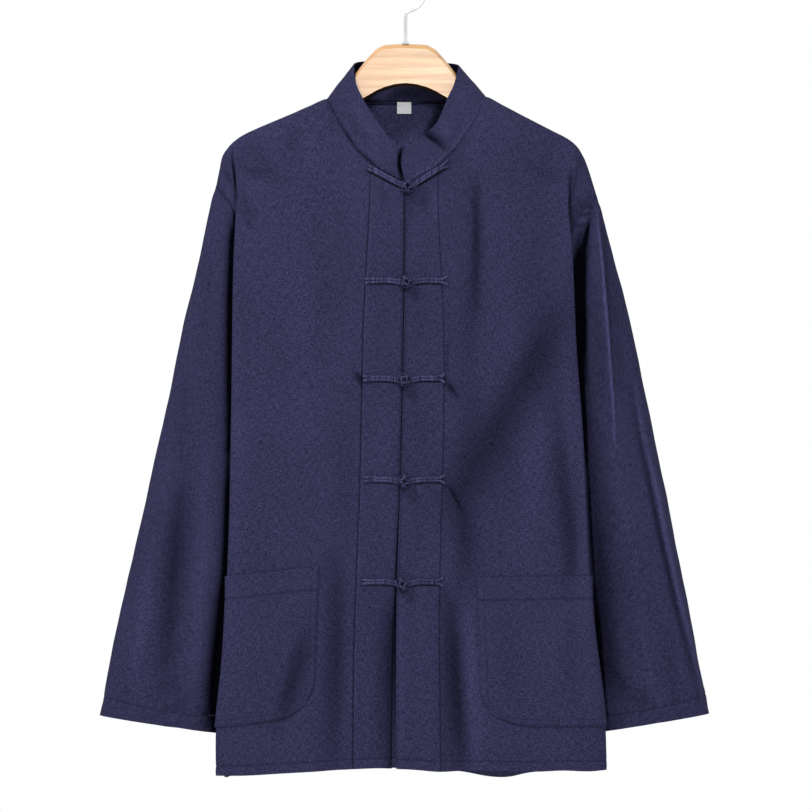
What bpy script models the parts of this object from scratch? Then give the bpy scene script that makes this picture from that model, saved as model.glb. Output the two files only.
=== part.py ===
"""Tang suit jacket hanging on a wooden hanger, at its real size in metres.

The origin is the top of the inside of the hook, where a rod or a peg carries
everything. +Z is up, and the front of the jacket faces -Y. Left and right are
the wearer's, so the right side of the jacket lies at -X.

The jacket is cut as two fronts, a back, two set-in sleeves, a stand collar and
two patch pockets, and it is closed by five frogs, each a knot half and a loop
half. Every cloth piece is a wall of even thickness round a middle surface. That
surface is a net of columns, which run down the cloth, and rows, which run
across it. Walls that are sewn together share the points of their seam.
"""

import math

import bpy
import numpy as np

CLOTH = 0.0015
COLLAR_CLOTH = 0.0024
POCKET_CLOTH = 0.0013
LABEL_CLOTH = 0.0010
SEAM_GAP = 0.0003
COLLAR_SEAM_GAP = 0.0013

ARMPIT_HEIGHT = -0.460
ARMPIT_OUT = 0.160
VENT_TOP = -0.826
FRONT_HEM = -0.8840
BACK_HEM = -0.8950

SHOULDER_ROLL = 0.0095
SHOULDER_ROLL_DROP = 0.014
CHEST_DROP = 0.045
FOLD_DROP = 0.016

VENT_SPREAD = 0.006
BACK_NARROWER = 0.004
BACK_NARROWER_TOP = -0.280
FLAT_SHARE = 0.88

CORD_RADIUS = 0.0014
KNOT_RADIUS = 0.0066
KNOT_RISE = 0.0122
KNOT_NECK_RADIUS = 0.0017
BAR_END = 0.0445
LOOP_RADIUS = 0.0036
LOOP_RISE = 0.0052
CORD_CLEARANCE = 0.0001

COLLAR_BULGE = 0.0025
COLLAR_END_ROUND = 0.0048

LABEL_WIDTH = 0.0160
LABEL_LENGTH = 0.0132
LABEL_ACROSS = -0.0016
LABEL_DROP = 0.0012

HOOK_INSIDE = 0.0200
HOOK_WIRE = 0.0020
HANGER_HALF_THICKNESS = 0.0060
HANGER_TOP = -0.0783
HANGER_END_OUT = 0.1810
HANGER_BOARD_OUT = 0.068
HANGER_ARM_HIGH = 0.0270
NECK_CLEARANCE = 0.0030
FERRULE_RADIUS = 0.0044
FERRULE_HEIGHT = 0.0022
FERRULE_RIM = 0.0012

SIDES = {"right": -1, "left": 1}
FACES = {"front": -1, "back": 1}


class Table:
    """Rows of sizes with named columns, read along smooth curves by the first one."""

    def __init__(self, columns, *rows):
        self.names = columns.split()
        self.rows = np.array(sorted(rows), dtype=float)

    def at(self, column, place):
        places = self.rows[:, 0]
        values = self.rows[:, self.names.index(column)]
        steps = np.diff(places)
        rises = np.diff(values) / steps
        slopes = np.concatenate(([rises[0]], rises[:-1], [rises[-1]]))
        inner = (rises[:-1] * steps[1:] + rises[1:] * steps[:-1]) / (steps[1:] + steps[:-1])
        slopes[1:-1] = inner
        place = min(max(place, places[0]), places[-1])
        index = min(int(np.searchsorted(places, place, side="right")) - 1, len(steps) - 1)
        step = steps[index]
        share = (place - places[index]) / step
        rest = 1 - share
        return (values[index] * (1 + 2 * share) * rest ** 2
                + values[index + 1] * (3 - 2 * share) * share ** 2
                + slopes[index] * step * share * rest ** 2
                - slopes[index + 1] * step * share ** 2 * rest)


# Half width of the body at the fold where each panel turns back, by height.
FOLD_EDGE = {
    "right": Table(
        "height out",
        (-0.200, 0.1915),
        (-0.256, 0.1880),
        (-0.311, 0.1898),
        (-0.476, 0.1920),
        (-0.642, 0.1954),
        (-0.785, 0.2030),
        (-0.830, 0.2082),
        (-0.890, 0.2085)),
    "left": Table(
        "height out",
        (-0.200, 0.1900),
        (-0.272, 0.1820),
        (-0.311, 0.1843),
        (-0.421, 0.1887),
        (-0.510, 0.1954),
        (-0.631, 0.2009),
        (-0.719, 0.2064),
        (-0.846, 0.2205),
        (-0.890, 0.2210)),
}

# Distance of each panel from the hanger's plane, at the middle and before the fold.
DEPTH = Table(
    "height front_middle front_fold back_middle back_fold",
    (-0.190, 0.0520, 0.0150, 0.0480, 0.0150),
    (-0.237, 0.0522, 0.0225, 0.0490, 0.0220),
    (-0.285, 0.0528, 0.0295, 0.0495, 0.0285),
    (-0.345, 0.0530, 0.0365, 0.0490, 0.0350),
    (-0.460, 0.0520, 0.0415, 0.0480, 0.0400),
    (-0.600, 0.0505, 0.0440, 0.0475, 0.0425),
    (-0.740, 0.0510, 0.0460, 0.0490, 0.0445),
    (-0.890, 0.0530, 0.0480, 0.0520, 0.0470))

# The way back from the fold: edge, the layer behind it, the valley, the cap
# beside the seam. "in" sizes are measured inwards from the fold or the seam.
RETURN = Table(
    "height edge_deep behind_in behind_deep valley_out valley_deep cap_in cap_deeper",
    (-0.237, 0.0185, -0.0010, 0.0130, 0.1930, 0.0098, 0.0095, 0.0068),
    (-0.260, 0.0212, 0.0025, 0.0180, 0.1822, 0.0162, 0.0045, 0.0014),
    (-0.285, 0.0249, 0.0055, 0.0216, 0.1700, 0.0194, 0.0045, 0.0010),
    (-0.310, 0.0278, 0.0080, 0.0236, 0.1640, 0.0206, 0.0050, 0.0012),
    (-0.345, 0.0307, 0.0095, 0.0252, 0.1560, 0.0210, 0.0060, 0.0014),
    (-0.400, 0.0330, 0.0110, 0.0266, 0.1490, 0.0205, 0.0060, 0.0026),
    (-0.460, 0.0345, 0.0120, 0.0270, 0.1445, 0.0192, 0.0050, 0.0085),
    (-0.500, 0.0355, 0.0125, 0.0270, 0.1400, 0.0175, 0.0022, 0.0070),
    (-0.600, 0.0375, 0.0135, 0.0290, 0.1370, 0.0180, 0.0020, 0.0070),
    (-0.740, 0.0400, 0.0140, 0.0310, 0.1420, 0.0190, 0.0020, 0.0070),
    (-0.890, 0.0420, 0.0140, 0.0330, 0.1540, 0.0210, 0.0020, 0.0070))

# The armhole from the tip of the shoulder, share 0, to the armpit, share 1.
ARMHOLE = Table(
    "share out_share deep",
    (0.000, 1.000, 0.0000),
    (0.006, 0.985, 0.0022),
    (0.020, 0.940, 0.0042),
    (0.050, 0.840, 0.0075),
    (0.100, 0.670, 0.0103),
    (0.170, 0.510, 0.0123),
    (0.250, 0.390, 0.0133),
    (0.400, 0.235, 0.0135),
    (0.600, 0.115, 0.0120),
    (0.800, 0.045, 0.0090),
    (0.920, 0.015, 0.0058),
    (1.000, 0.000, 0.0000))

# The side seam below the armpit.
SIDE_SEAM = Table(
    "height out",
    (-0.460, 0.1600),
    (-0.475, 0.1560),
    (-0.500, 0.1520),
    (-0.560, 0.1485),
    (-0.640, 0.1485),
    (-0.740, 0.1530),
    (-0.890, 0.1650))

# The shoulder ridge that lies on the hanger, by the column that ends there.
RIDGE = {
    "right": Table(
        "column out height",
        (2.0, 0.0873, -0.1405),
        (2.5, 0.1080, -0.1485),
        (3.0, 0.1285, -0.1575),
        (4.0, 0.1670, -0.1738),
        (4.5, 0.1800, -0.1800),
        (5.0, 0.1895, -0.1862),
        (6.0, 0.1990, -0.1960),
        (7.0, 0.2042, -0.2045),
        (8.0, 0.2070, -0.2170),
        (9.0, 0.2114, -0.2370)),
    "left": Table(
        "column out height",
        (2.0, 0.0893, -0.1380),
        (2.5, 0.1085, -0.1472),
        (3.0, 0.1285, -0.1577),
        (4.0, 0.1670, -0.1775),
        (4.5, 0.1800, -0.1842),
        (5.0, 0.1885, -0.1905),
        (6.0, 0.1965, -0.2015),
        (7.0, 0.2015, -0.2120),
        (8.0, 0.2065, -0.2270),
        (9.0, 0.2136, -0.2490)),
}

# The neck seam, from the centre, column 0, to the shoulder, column 2.
NECK_SEAM = {
    "front": Table(
        "column out deep height",
        (0.0, 0.0000, 0.0520, -0.2375),
        (0.5, 0.0300, 0.0498, -0.2215),
        (1.0, 0.0530, 0.0400, -0.2000),
        (1.5, 0.0735, 0.0235, -0.1695),
        (1.75, 0.0835, 0.0125, -0.1495),
        (2.0, 0.0883, 0.0000, -0.1392)),
    "back": Table(
        "column out deep height",
        (0.0, 0.0000, 0.0470, -0.1370),
        (0.5, 0.0270, 0.0455, -0.1370),
        (1.0, 0.0530, 0.0390, -0.1375),
        (1.5, 0.0765, 0.0235, -0.1385),
        (2.0, 0.0883, 0.0000, -0.1392)),
}

# The collar's free edge, from its front end, place 0, to the back, place 4.
COLLAR_EDGE = {
    "right": Table(
        "place out deep height",
        (0.0, 0.0010, -0.0480, -0.1990),
        (0.5, 0.0165, -0.0440, -0.1885),
        (1.0, 0.0330, -0.0330, -0.1650),
        (1.5, 0.0480, -0.0200, -0.1400),
        (1.8, 0.0560, -0.0125, -0.1205),
        (2.0, 0.0568, -0.0010, -0.1080),
        (2.5, 0.0560, 0.0140, -0.0990),
        (3.0, 0.0470, 0.0275, -0.0945),
        (3.5, 0.0255, 0.0370, -0.0925),
        (4.0, 0.0000, 0.0395, -0.0920)),
    "left": Table(
        "place out deep height",
        (0.0, 0.0010, -0.0520, -0.1985),
        (0.5, 0.0200, -0.0455, -0.1840),
        (1.0, 0.0350, -0.0335, -0.1690),
        (1.5, 0.0460, -0.0200, -0.1420),
        (1.8, 0.0562, -0.0125, -0.1190),
        (2.0, 0.0580, -0.0010, -0.1080),
        (2.5, 0.0580, 0.0140, -0.1005),
        (3.0, 0.0490, 0.0275, -0.0965),
        (3.5, 0.0260, 0.0370, -0.0935),
        (4.0, 0.0000, 0.0395, -0.0920)),
}

# Where the two front edges meet, and how far the right one falls short of it.
OPENING_LINE = Table(
    "height across short",
    (-0.230, -0.0005, 0.0003),
    (-0.347, -0.0016, 0.0003),
    (-0.566, -0.0060, 0.0003),
    (-0.678, -0.0100, 0.0006),
    (-0.760, -0.0105, 0.0035),
    (-0.890, -0.0105, 0.0050))
FRONT_EDGE_STEP = 0.0013

# The outer edge of each sleeve from the shoulder tip to the cuff, by height.
SLEEVE_EDGE = {
    "right": Table(
        "height out",
        (-0.237, 0.2114),
        (-0.257, 0.2172),
        (-0.297, 0.2259),
        (-0.342, 0.2350),
        (-0.409, 0.2510),
        (-0.499, 0.2697),
        (-0.633, 0.2997),
        (-0.767, 0.3297),
        (-0.8286, 0.3408)),
    "left": Table(
        "height out",
        (-0.249, 0.2136),
        (-0.268, 0.2190),
        (-0.297, 0.2266),
        (-0.342, 0.2382),
        (-0.409, 0.2542),
        (-0.454, 0.2645),
        (-0.543, 0.2820),
        (-0.678, 0.3098),
        (-0.767, 0.3270),
        (-0.8265, 0.3388)),
}

# The inner edge of a sleeve and its half thickness, by share of its length.
SLEEVE_INSIDE = Table(
    "share out height front_deep back_deep",
    (0.00, 0.1600, -0.4600, 0.0135, 0.0135),
    (0.10, 0.1668, -0.4800, 0.0160, 0.0160),
    (0.20, 0.1722, -0.5120, 0.0185, 0.0185),
    (0.35, 0.1780, -0.5750, 0.0205, 0.0200),
    (0.50, 0.1820, -0.6420, 0.0200, 0.0205),
    (0.75, 0.1875, -0.7460, 0.0180, 0.0200),
    (1.00, 0.1925, -0.8500, 0.0165, 0.0185))
SLEEVE_BLEND = 0.30
SLEEVE_SHARES = (0, 0.02, 0.05, 0.09, 0.14, 0.20, 0.27, 0.34, 0.41, 0.48, 0.55, 0.62,
                 0.69, 0.76, 0.83, 0.90, 0.96, 1.0)

# The largest folds. Each runs between two places on a panel, "across" to the
# wearer's left, and is a trough where its depth is above 0 and a ridge below 0.
FRONT_FOLDS = Table(
    "number top_across top_height foot_across foot_height width depth",
    (1, 0.0735, -0.225, 0.0765, -0.480, 0.014, 0.0032),
    (2, 0.0480, -0.570, 0.0640, -0.660, 0.012, 0.0028),
    (3, 0.0500, -0.690, 0.0580, -0.950, 0.012, 0.0052),
    (4, -0.1080, -0.700, -0.1450, -0.850, 0.020, 0.0042),
    (5, -0.0740, -0.640, -0.0780, -0.950, 0.016, 0.0042),
    (6, -0.1100, -0.230, -0.0700, -0.340, 0.026, 0.0030),
    (7, 0.1200, -0.230, 0.1320, -0.460, 0.026, -0.0026),
    (8, 0.1740, -0.590, 0.1820, -0.680, 0.011, 0.0040),
    (9, 0.0260, -0.740, 0.0300, -0.950, 0.014, -0.0026),
    (10, -0.1250, -0.480, -0.1180, -0.720, 0.024, -0.0030))
BACK_FOLDS = Table(
    "number top_across top_height foot_across foot_height width depth",
    (1, 0.0200, -0.520, 0.0340, -0.960, 0.022, 0.0058),
    (2, -0.0700, -0.430, -0.0860, -0.960, 0.024, 0.0064),
    (3, 0.1040, -0.400, 0.1160, -0.960, 0.020, 0.0060),
    (4, -0.1500, -0.560, -0.1560, -0.960, 0.018, 0.0050),
    (5, 0.0680, -0.240, 0.0560, -0.440, 0.026, -0.0040),
    (6, -0.1240, -0.230, -0.1100, -0.420, 0.024, -0.0040),
    (7, 0.1560, -0.640, 0.1640, -0.960, 0.016, 0.0045),
    (8, -0.0180, -0.600, -0.0240, -0.960, 0.022, -0.0045))
# The same for a sleeve: "round" is 0 at its outer edge and 1 at its inner one.
SLEEVE_FOLDS = Table(
    "number face side top_share top_round foot_share foot_round width depth",
    (1, -1, 1, 0.06, 0.30, 0.98, 0.13, 0.035, -0.0022),
    (2, -1, 1, 0.30, 0.22, 0.96, 0.30, 0.060, 0.0030),
    (3, -1, 1, 0.62, 0.62, 1.10, 0.44, 0.070, 0.0045),
    (4, -1, -1, 0.45, 0.52, 1.10, 0.58, 0.080, 0.0042),
    (5, -1, -1, 0.20, 0.28, 0.70, 0.22, 0.060, -0.0024),
    (6, 1, 1, 0.25, 0.40, 1.10, 0.35, 0.080, 0.0045),
    (7, 1, -1, 0.30, 0.45, 1.10, 0.52, 0.080, 0.0045),
    (8, 1, 1, 0.55, 0.70, 1.05, 0.66, 0.060, 0.0030))
FOLD_FADE = 0.060

# The hanger's board between its arms, by half width.
HANGER_BOARD = Table(
    "out top foot",
    (0.000, -0.0783, -0.1254),
    (0.013, -0.0785, -0.1268),
    (0.026, -0.0800, -0.1308),
    (0.035, -0.0857, -0.1350),
    (0.043, -0.0947, -0.1398),
    (0.050, -0.1035, -0.1437),
    (0.058, -0.1140, -0.1485),
    (0.068, -0.1262, -0.1545))
# The last two stations of an arm: how far in from its end, top and foot cut off.
HANGER_END = ((0.004, 0.0012, 0.0), (0.0, 0.0040, 0.0025))

# How far the hem hangs below its level, by distance across.
HEM_DROP = {
    "front": Table(
        "across lower",
        (-0.210, 0.0015),
        (-0.150, 0.0000),
        (-0.080, -0.0005),
        (-0.030, -0.0025),
        (0.000, -0.0020),
        (0.040, 0.0008),
        (0.080, 0.0000),
        (0.150, 0.0010),
        (0.220, -0.0040)),
    "back": Table(
        "across lower",
        (-0.210, 0.0095),
        (-0.175, 0.0040),
        (-0.100, 0.0010),
        (-0.030, 0.0000),
        (0.060, 0.0030),
        (0.105, 0.0095),
        (0.150, 0.0030),
        (0.220, -0.0010)),
}

COLUMNS = (0, 0.5, 1, 1.5, 1.75, 2, 2.5, 3, 3.5, 4, 4.5, 5, 5.5, 6, 6.5, 7, 7.25, 8, 9)
UPPER_SHARES = (0, 0.006, 0.02, 0.05, 0.10, 0.17, 0.25, 0.34, 0.44, 0.55, 0.66, 0.77, 0.885, 1)
POCKET_TOP = -0.671
POCKET_FOOT = -0.836
LOWER_HEIGHTS = (-0.492, -0.525, -0.560, -0.597, -0.634, POCKET_TOP, -0.704, -0.737,
                 -0.770, -0.803, POCKET_FOOT, -0.862, None)
ARMPIT_ROW = len(UPPER_SHARES) - 1
POCKET_ROWS = (ARMPIT_ROW + 6, ARMPIT_ROW + 11)
POCKET_COLUMNS = (COLUMNS.index(2), COLUMNS.index(6))
POCKET_EDGE_SHARE = {"right": 0.460, "left": 0.410}
POCKET_TILT = {"right": 0.115, "left": -0.010}
POCKET_LIFT = {"right": 0.006, "left": 0.000}
POCKET_SAG_FOOT = -0.885
POCKET_SAG_TOP = -0.600
POCKET_MIDDLE_OUT = 0.145
# The lower corners, point by point from the edge: cells moved in, cells moved up.
POCKET_CORNER = ((0.36, 0.42), (0.30, 0.11), (0.10, 0.02))
POCKET_FOLD_CORNER = ((0.36, 0.36),)

FROG_HEIGHTS = (-0.2420, -0.3466, -0.4544, -0.5655, -0.6777)
KNOT_ACROSS = (0.0025, 0.0010, -0.0014, -0.0014, -0.0036)
FROG_SLOPE = 0.50
BAR_STATIONS = (-BAR_END, -0.036, -0.027, -0.018, -0.010)
# One leg of a loop from its end: across, spread from the other leg, rise.
LOOP_LEG = ((BAR_END + 0.0010, 0.0032, 0.0), (BAR_END - 0.0035, 0.0014, 0.0),
            (0.034, 0.0, 0.0), (0.024, 0.0, 0.0), (0.015, 0.0, 0.0))

NAVY = (0.028, 0.026, 0.088, 1.0)
NAVY_CORD = (0.034, 0.032, 0.100, 1.0)
LABEL_WHITE = (0.82, 0.82, 0.84, 1.0)
PALE_WOOD = (0.80, 0.56, 0.32, 1.0)
CHROME = (0.75, 0.76, 0.78, 1.0)


def clear_scene():
    for thing in list(bpy.data.objects):
        bpy.data.objects.remove(thing, do_unlink=True)


def finish_material(name, colour, roughness, metallic=0.0):
    material = bpy.data.materials.new(name)
    material.use_nodes = True
    shader = material.node_tree.nodes["Principled BSDF"]
    shader.inputs["Base Color"].default_value = colour
    shader.inputs["Roughness"].default_value = roughness
    shader.inputs["Metallic"].default_value = metallic
    material.diffuse_color = colour
    return material


def add_piece(name, points, faces, material, smooth_angle=50):
    """Make one closed body from its points and faces."""
    mesh = bpy.data.meshes.new(name)
    mesh.from_pydata([tuple(map(float, point)) for point in points], [], faces)
    mesh.update()
    piece = bpy.data.objects.new(name, mesh)
    bpy.context.collection.objects.link(piece)
    mesh.materials.append(material)
    mesh.shade_smooth()
    mesh.set_sharp_from_angle(angle=math.radians(smooth_angle))
    return piece


def ease(share):
    share = min(max(share, 0.0), 1.0)
    return share * share * (3 - 2 * share)


def quarter_round(share):
    """Rise of a quarter circle: steep at 0 and level from 1 on."""
    return math.sqrt(1 - (1 - min(max(share, 0.0), 1.0)) ** 2)


def through(points, place):
    """Point at a place along a smooth curve through points numbered 0, 1, 2 and on."""
    last = len(points) - 1
    index = min(int(place), last - 1)
    share = place - index
    before = points[max(index - 1, 0)]
    start = points[index]
    end = points[index + 1]
    after = points[min(index + 2, last)]
    return 0.5 * (2 * start + (end - before) * share
                  + (2 * before - 5 * start + 4 * end - after) * share ** 2
                  + (3 * start - before - 3 * end + after) * share ** 3)


def unit(vector):
    return vector / np.linalg.norm(vector)


def directions(net, axis, closed=False):
    """Direction along a net at each point: halfway between the steps that meet there."""
    points = np.swapaxes(net, 0, axis)
    ends = (points[-1:], points[:1]) if closed else (2 * points[:1] - points[1:2],
                                                     2 * points[-1:] - points[-2:-1])
    steps = np.diff(np.concatenate((ends[0], points, ends[1])), axis=0)
    steps /= np.linalg.norm(steps, axis=2, keepdims=True)
    return np.swapaxes(steps[:-1] + steps[1:], 0, axis)


def net_normals(net, closed=False):
    """Outward direction at each point of a net of rows and columns."""
    normals = np.cross(directions(net, 0), directions(net, 1, closed))
    return normals / np.linalg.norm(normals, axis=2, keepdims=True)


def wall_from_net(name, net, normals, thickness, material, closed=False):
    """Closed wall round a net, half its thickness to each side of it."""
    rows, columns = net.shape[:2]
    outer = net + normals * thickness / 2
    inner = net - normals * thickness / 2
    points = np.concatenate((outer.reshape(-1, 3), inner.reshape(-1, 3)))
    inside = rows * columns
    spans = columns if closed else columns - 1
    faces = []
    for row in range(rows - 1):
        for column in range(spans):
            after = (column + 1) % columns
            corner = row * columns + column
            corner_after = row * columns + after
            below = corner + columns
            below_after = corner_after + columns
            for triangle in ((corner, below, below_after), (corner, below_after, corner_after)):
                faces.append(triangle)
                faces.append(tuple(inside + index for index in reversed(triangle)))
    for row, turned in ((0, False), (rows - 1, True)):
        for column in range(spans):
            start = row * columns + column
            end = row * columns + (column + 1) % columns
            rim = (start, end, inside + end, inside + start)
            faces.append(tuple(reversed(rim)) if turned else rim)
    if not closed:
        for column, turned in ((0, True), (columns - 1, False)):
            for row in range(rows - 1):
                start = row * columns + column
                end = start + columns
                rim = (start, end, inside + end, inside + start)
                faces.append(tuple(reversed(rim)) if turned else rim)
    return add_piece(name, points, faces, material)


def fold_amount(folds, across, height):
    """How far the folds of a panel push it in at one place."""
    total = 0.0
    for row in folds.rows:
        fold = dict(zip(folds.names, row))
        length = fold["top_height"] - fold["foot_height"]
        share = (fold["top_height"] - height) / length
        middle = fold["top_across"] + share * (fold["foot_across"] - fold["top_across"])
        fade = ease((fold["top_height"] + FOLD_FADE / 3 - height) / FOLD_FADE)
        fade *= ease((height - fold["foot_height"] + FOLD_FADE / 3) / FOLD_FADE)
        total += fold["depth"] * fade * math.exp(-((across - middle) / fold["width"]) ** 2)
    return total


def armhole_point(side, share):
    """Point on an armhole, from the shoulder tip to the armpit."""
    tip_out = RIDGE[side].at("out", 9)
    tip_height = RIDGE[side].at("height", 9)
    out = ARMPIT_OUT + (tip_out - ARMPIT_OUT) * ARMHOLE.at("out_share", share)
    deep = ARMHOLE.at("deep", share)
    height = tip_height + share * (ARMPIT_HEIGHT - tip_height)
    return np.array((out, deep, height))


def seam_place(side, height):
    """Half width and depth of the armhole or the side seam at a height."""
    if height >= ARMPIT_HEIGHT:
        tip_height = RIDGE[side].at("height", 9)
        share = (tip_height - height) / (tip_height - ARMPIT_HEIGHT)
        point = armhole_point(side, min(max(share, 0.0), 1.0))
        return point[0], point[1]
    vent = VENT_SPREAD * ease((VENT_TOP - height) / (VENT_TOP - FRONT_HEM))
    return SIDE_SEAM.at("out", height), vent


def section_points(side, face, height):
    """Half width and depth of a panel's nine guide columns at one height."""
    fold = FOLD_EDGE[side].at("out", height)
    if face == "back":
        fold -= BACK_NARROWER * ease((BACK_NARROWER_TOP - height) / 0.090)
    middle_deep = DEPTH.at(face + "_middle", height)
    fold_deep = DEPTH.at(face + "_fold", height)
    sunk = fold_deep - DEPTH.at("front_fold", height)
    centre = 0.0
    if face == "front":
        across = OPENING_LINE.at("across", height)
        short = OPENING_LINE.at("short", height) if side == "right" else SEAM_GAP
        centre = SIDES[side] * across + short
        middle_deep += SIDES[side] * FRONT_EDGE_STEP
    pocket = POCKET_EDGE_SHARE[side]
    shares = (0.0, 0.5 * pocket, pocket, 0.5 * (pocket + FLAT_SHARE), FLAT_SHARE)
    points = []
    for number, share in enumerate(shares):
        out = centre * (1 - number / 4) + share * fold
        deep = middle_deep + (fold_deep - middle_deep) * (number / 4) ** 2
        points.append((out, deep))
    seam_out, seam_deep = seam_place(side, height)
    points.append((fold, RETURN.at("edge_deep", height) + sunk))
    points.append((fold - RETURN.at("behind_in", height), RETURN.at("behind_deep", height) + sunk))
    points.append((RETURN.at("valley_out", height), RETURN.at("valley_deep", height)))
    points.append((seam_out - RETURN.at("cap_in", height),
                   seam_deep + RETURN.at("cap_deeper", height)))
    points.append((seam_out, seam_deep))
    return [np.array(point) for point in points]


def top_point(side, face, column):
    """Top end of a column, on the neck seam or on the shoulder ridge."""
    if column > 2:
        return np.array((RIDGE[side].at("out", column), 0.0, RIDGE[side].at("height", column)))
    seam = NECK_SEAM[face]
    out = seam.at("out", column)
    height = seam.at("height", column)
    share = column / 2
    out += share * (RIDGE[side].at("out", 2) - seam.at("out", 2))
    height += share * (RIDGE[side].at("height", 2) - seam.at("height", 2))
    deep = seam.at("deep", column)
    if face == "front":
        deep += SIDES[side] * FRONT_EDGE_STEP * (1 - share)
        if column == 0:
            out += section_points(side, face, height)[0][0]
    return np.array((out, deep, height))


def pocket_sag(side, out, height):
    """How much the weight of a pocket tilts and lifts the rows about it."""
    window = ease((height - POCKET_SAG_FOOT) / 0.045) * ease((POCKET_SAG_TOP - height) / 0.050)
    return window * (POCKET_LIFT[side] - POCKET_TILT[side] * (out - POCKET_MIDDLE_OUT))


def panel_point(side, face, column, row):
    """Point of a panel's middle surface, as half width, depth and height."""
    top = top_point(side, face, column)
    if row <= ARMPIT_ROW:
        height = top[2] + UPPER_SHARES[row] * (ARMPIT_HEIGHT - top[2])
        if column == 9:
            return armhole_point(side, UPPER_SHARES[row])
    else:
        height = LOWER_HEIGHTS[row - ARMPIT_ROW - 1]
        if height is None:
            height = FRONT_HEM if face == "front" else BACK_HEM
            plan = through(section_points(side, face, height), column)
            height -= HEM_DROP[face].at("lower", SIDES[side] * plan[0])
    plan = through(section_points(side, face, height), column)
    drop = top[2] - height
    settle = 1 - math.exp(-drop / (CHEST_DROP if column < 4 else FOLD_DROP))
    out = top[0] + (plan[0] - top[0]) * settle
    roll = min(SHOULDER_ROLL, 0.8 * plan[1]) if column >= 2 else 0.0
    deep = (top[1] + roll * quarter_round(drop / SHOULDER_ROLL_DROP)
            + (plan[1] - top[1] - roll) * (1 - math.exp(-drop / CHEST_DROP)))
    folds = FRONT_FOLDS if face == "front" else BACK_FOLDS
    flat = 1 - ease((column - 4) / 1.5)
    deep -= flat * fold_amount(folds, SIDES[side] * out, height)
    if face == "front" and ARMPIT_ROW < row < ARMPIT_ROW + len(LOWER_HEIGHTS):
        height += pocket_sag(side, out, height)
    return np.array((out, deep, height))


def half_panel(side, face):
    """Net of one half of the front or the back, in world places."""
    rows = ARMPIT_ROW + 1 + len(LOWER_HEIGHTS)
    turn = np.array((SIDES[side], FACES[face], 1.0))
    net = np.empty((rows, len(COLUMNS), 3))
    for row in range(rows):
        for index, column in enumerate(COLUMNS):
            net[row, index] = panel_point(side, face, column, row) * turn
    return net


def straighten_seams(normals, side, columns):
    """Give the walls of neighbouring panels matching faces along their seams."""
    armhole = armhole_outward(side)
    for row in range(ARMPIT_ROW - 1):
        normal = normals[row, columns[-1]]
        normals[row, columns[-1]] = unit(normal - np.dot(normal, armhole) * armhole)
    for row in range(ARMPIT_ROW, normals.shape[0]):
        normals[row, columns[-1]] = (SIDES[side], 0, 0)
    for index in columns[COLUMNS.index(2):]:
        normal = normals[0, index].copy()
        normal[1] = 0
        normals[0, index] = unit(normal)


def open_seams(net, face, columns):
    """Draw the panel back by half a gap where it is sewn to the other panel."""
    half = FACES[face] * SEAM_GAP / 2
    net[0, columns[COLUMNS.index(2):], 1] += half
    net[ARMPIT_ROW:, columns[-1], 1] += half


def armhole_outward(side):
    """Direction square to an armhole, out of the body and into the sleeve."""
    tip = armhole_point(side, 0)
    pit = armhole_point(side, 1)
    rise = unit(tip - pit)
    return np.array((SIDES[side] * rise[2], 0.0, -rise[0]))


def build_front(side, cloth):
    net = half_panel(side, "front")
    columns = list(range(len(COLUMNS)))
    open_seams(net, "front", columns)
    if side == "right":
        net = net[:, ::-1]
        columns.reverse()
    normals = net_normals(net)
    straighten_seams(normals, side, columns)
    wall_from_net("front_" + side, net, normals, CLOTH, cloth)
    return net, normals


def build_back(cloth):
    right = half_panel("right", "back")
    left = half_panel("left", "back")
    net = np.concatenate((left[:, ::-1], right[:, 1:]), axis=1)
    count = len(COLUMNS)
    left_columns = list(range(count - 1, -1, -1))
    right_columns = list(range(count - 1, 2 * count - 1))
    open_seams(net, "back", left_columns)
    open_seams(net, "back", right_columns)
    normals = net_normals(net)
    straighten_seams(normals, "left", left_columns)
    straighten_seams(normals, "right", right_columns)
    wall_from_net("back", net, normals, CLOTH, cloth)
    return net, normals


def sleeve_fold_amount(side, face, share, round_share):
    total = 0.0
    for row in SLEEVE_FOLDS.rows:
        fold = dict(zip(SLEEVE_FOLDS.names, row))
        if fold["face"] != face or fold["side"] != SIDES[side]:
            continue
        along = (share - fold["top_share"]) / (fold["foot_share"] - fold["top_share"])
        middle = fold["top_round"] + along * (fold["foot_round"] - fold["top_round"])
        fade = ease((along + 0.05) / 0.25) * ease((1.05 - along) / 0.25)
        total += fold["depth"] * fade * math.exp(-((round_share - middle) / fold["width"]) ** 2)
    return total


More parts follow.
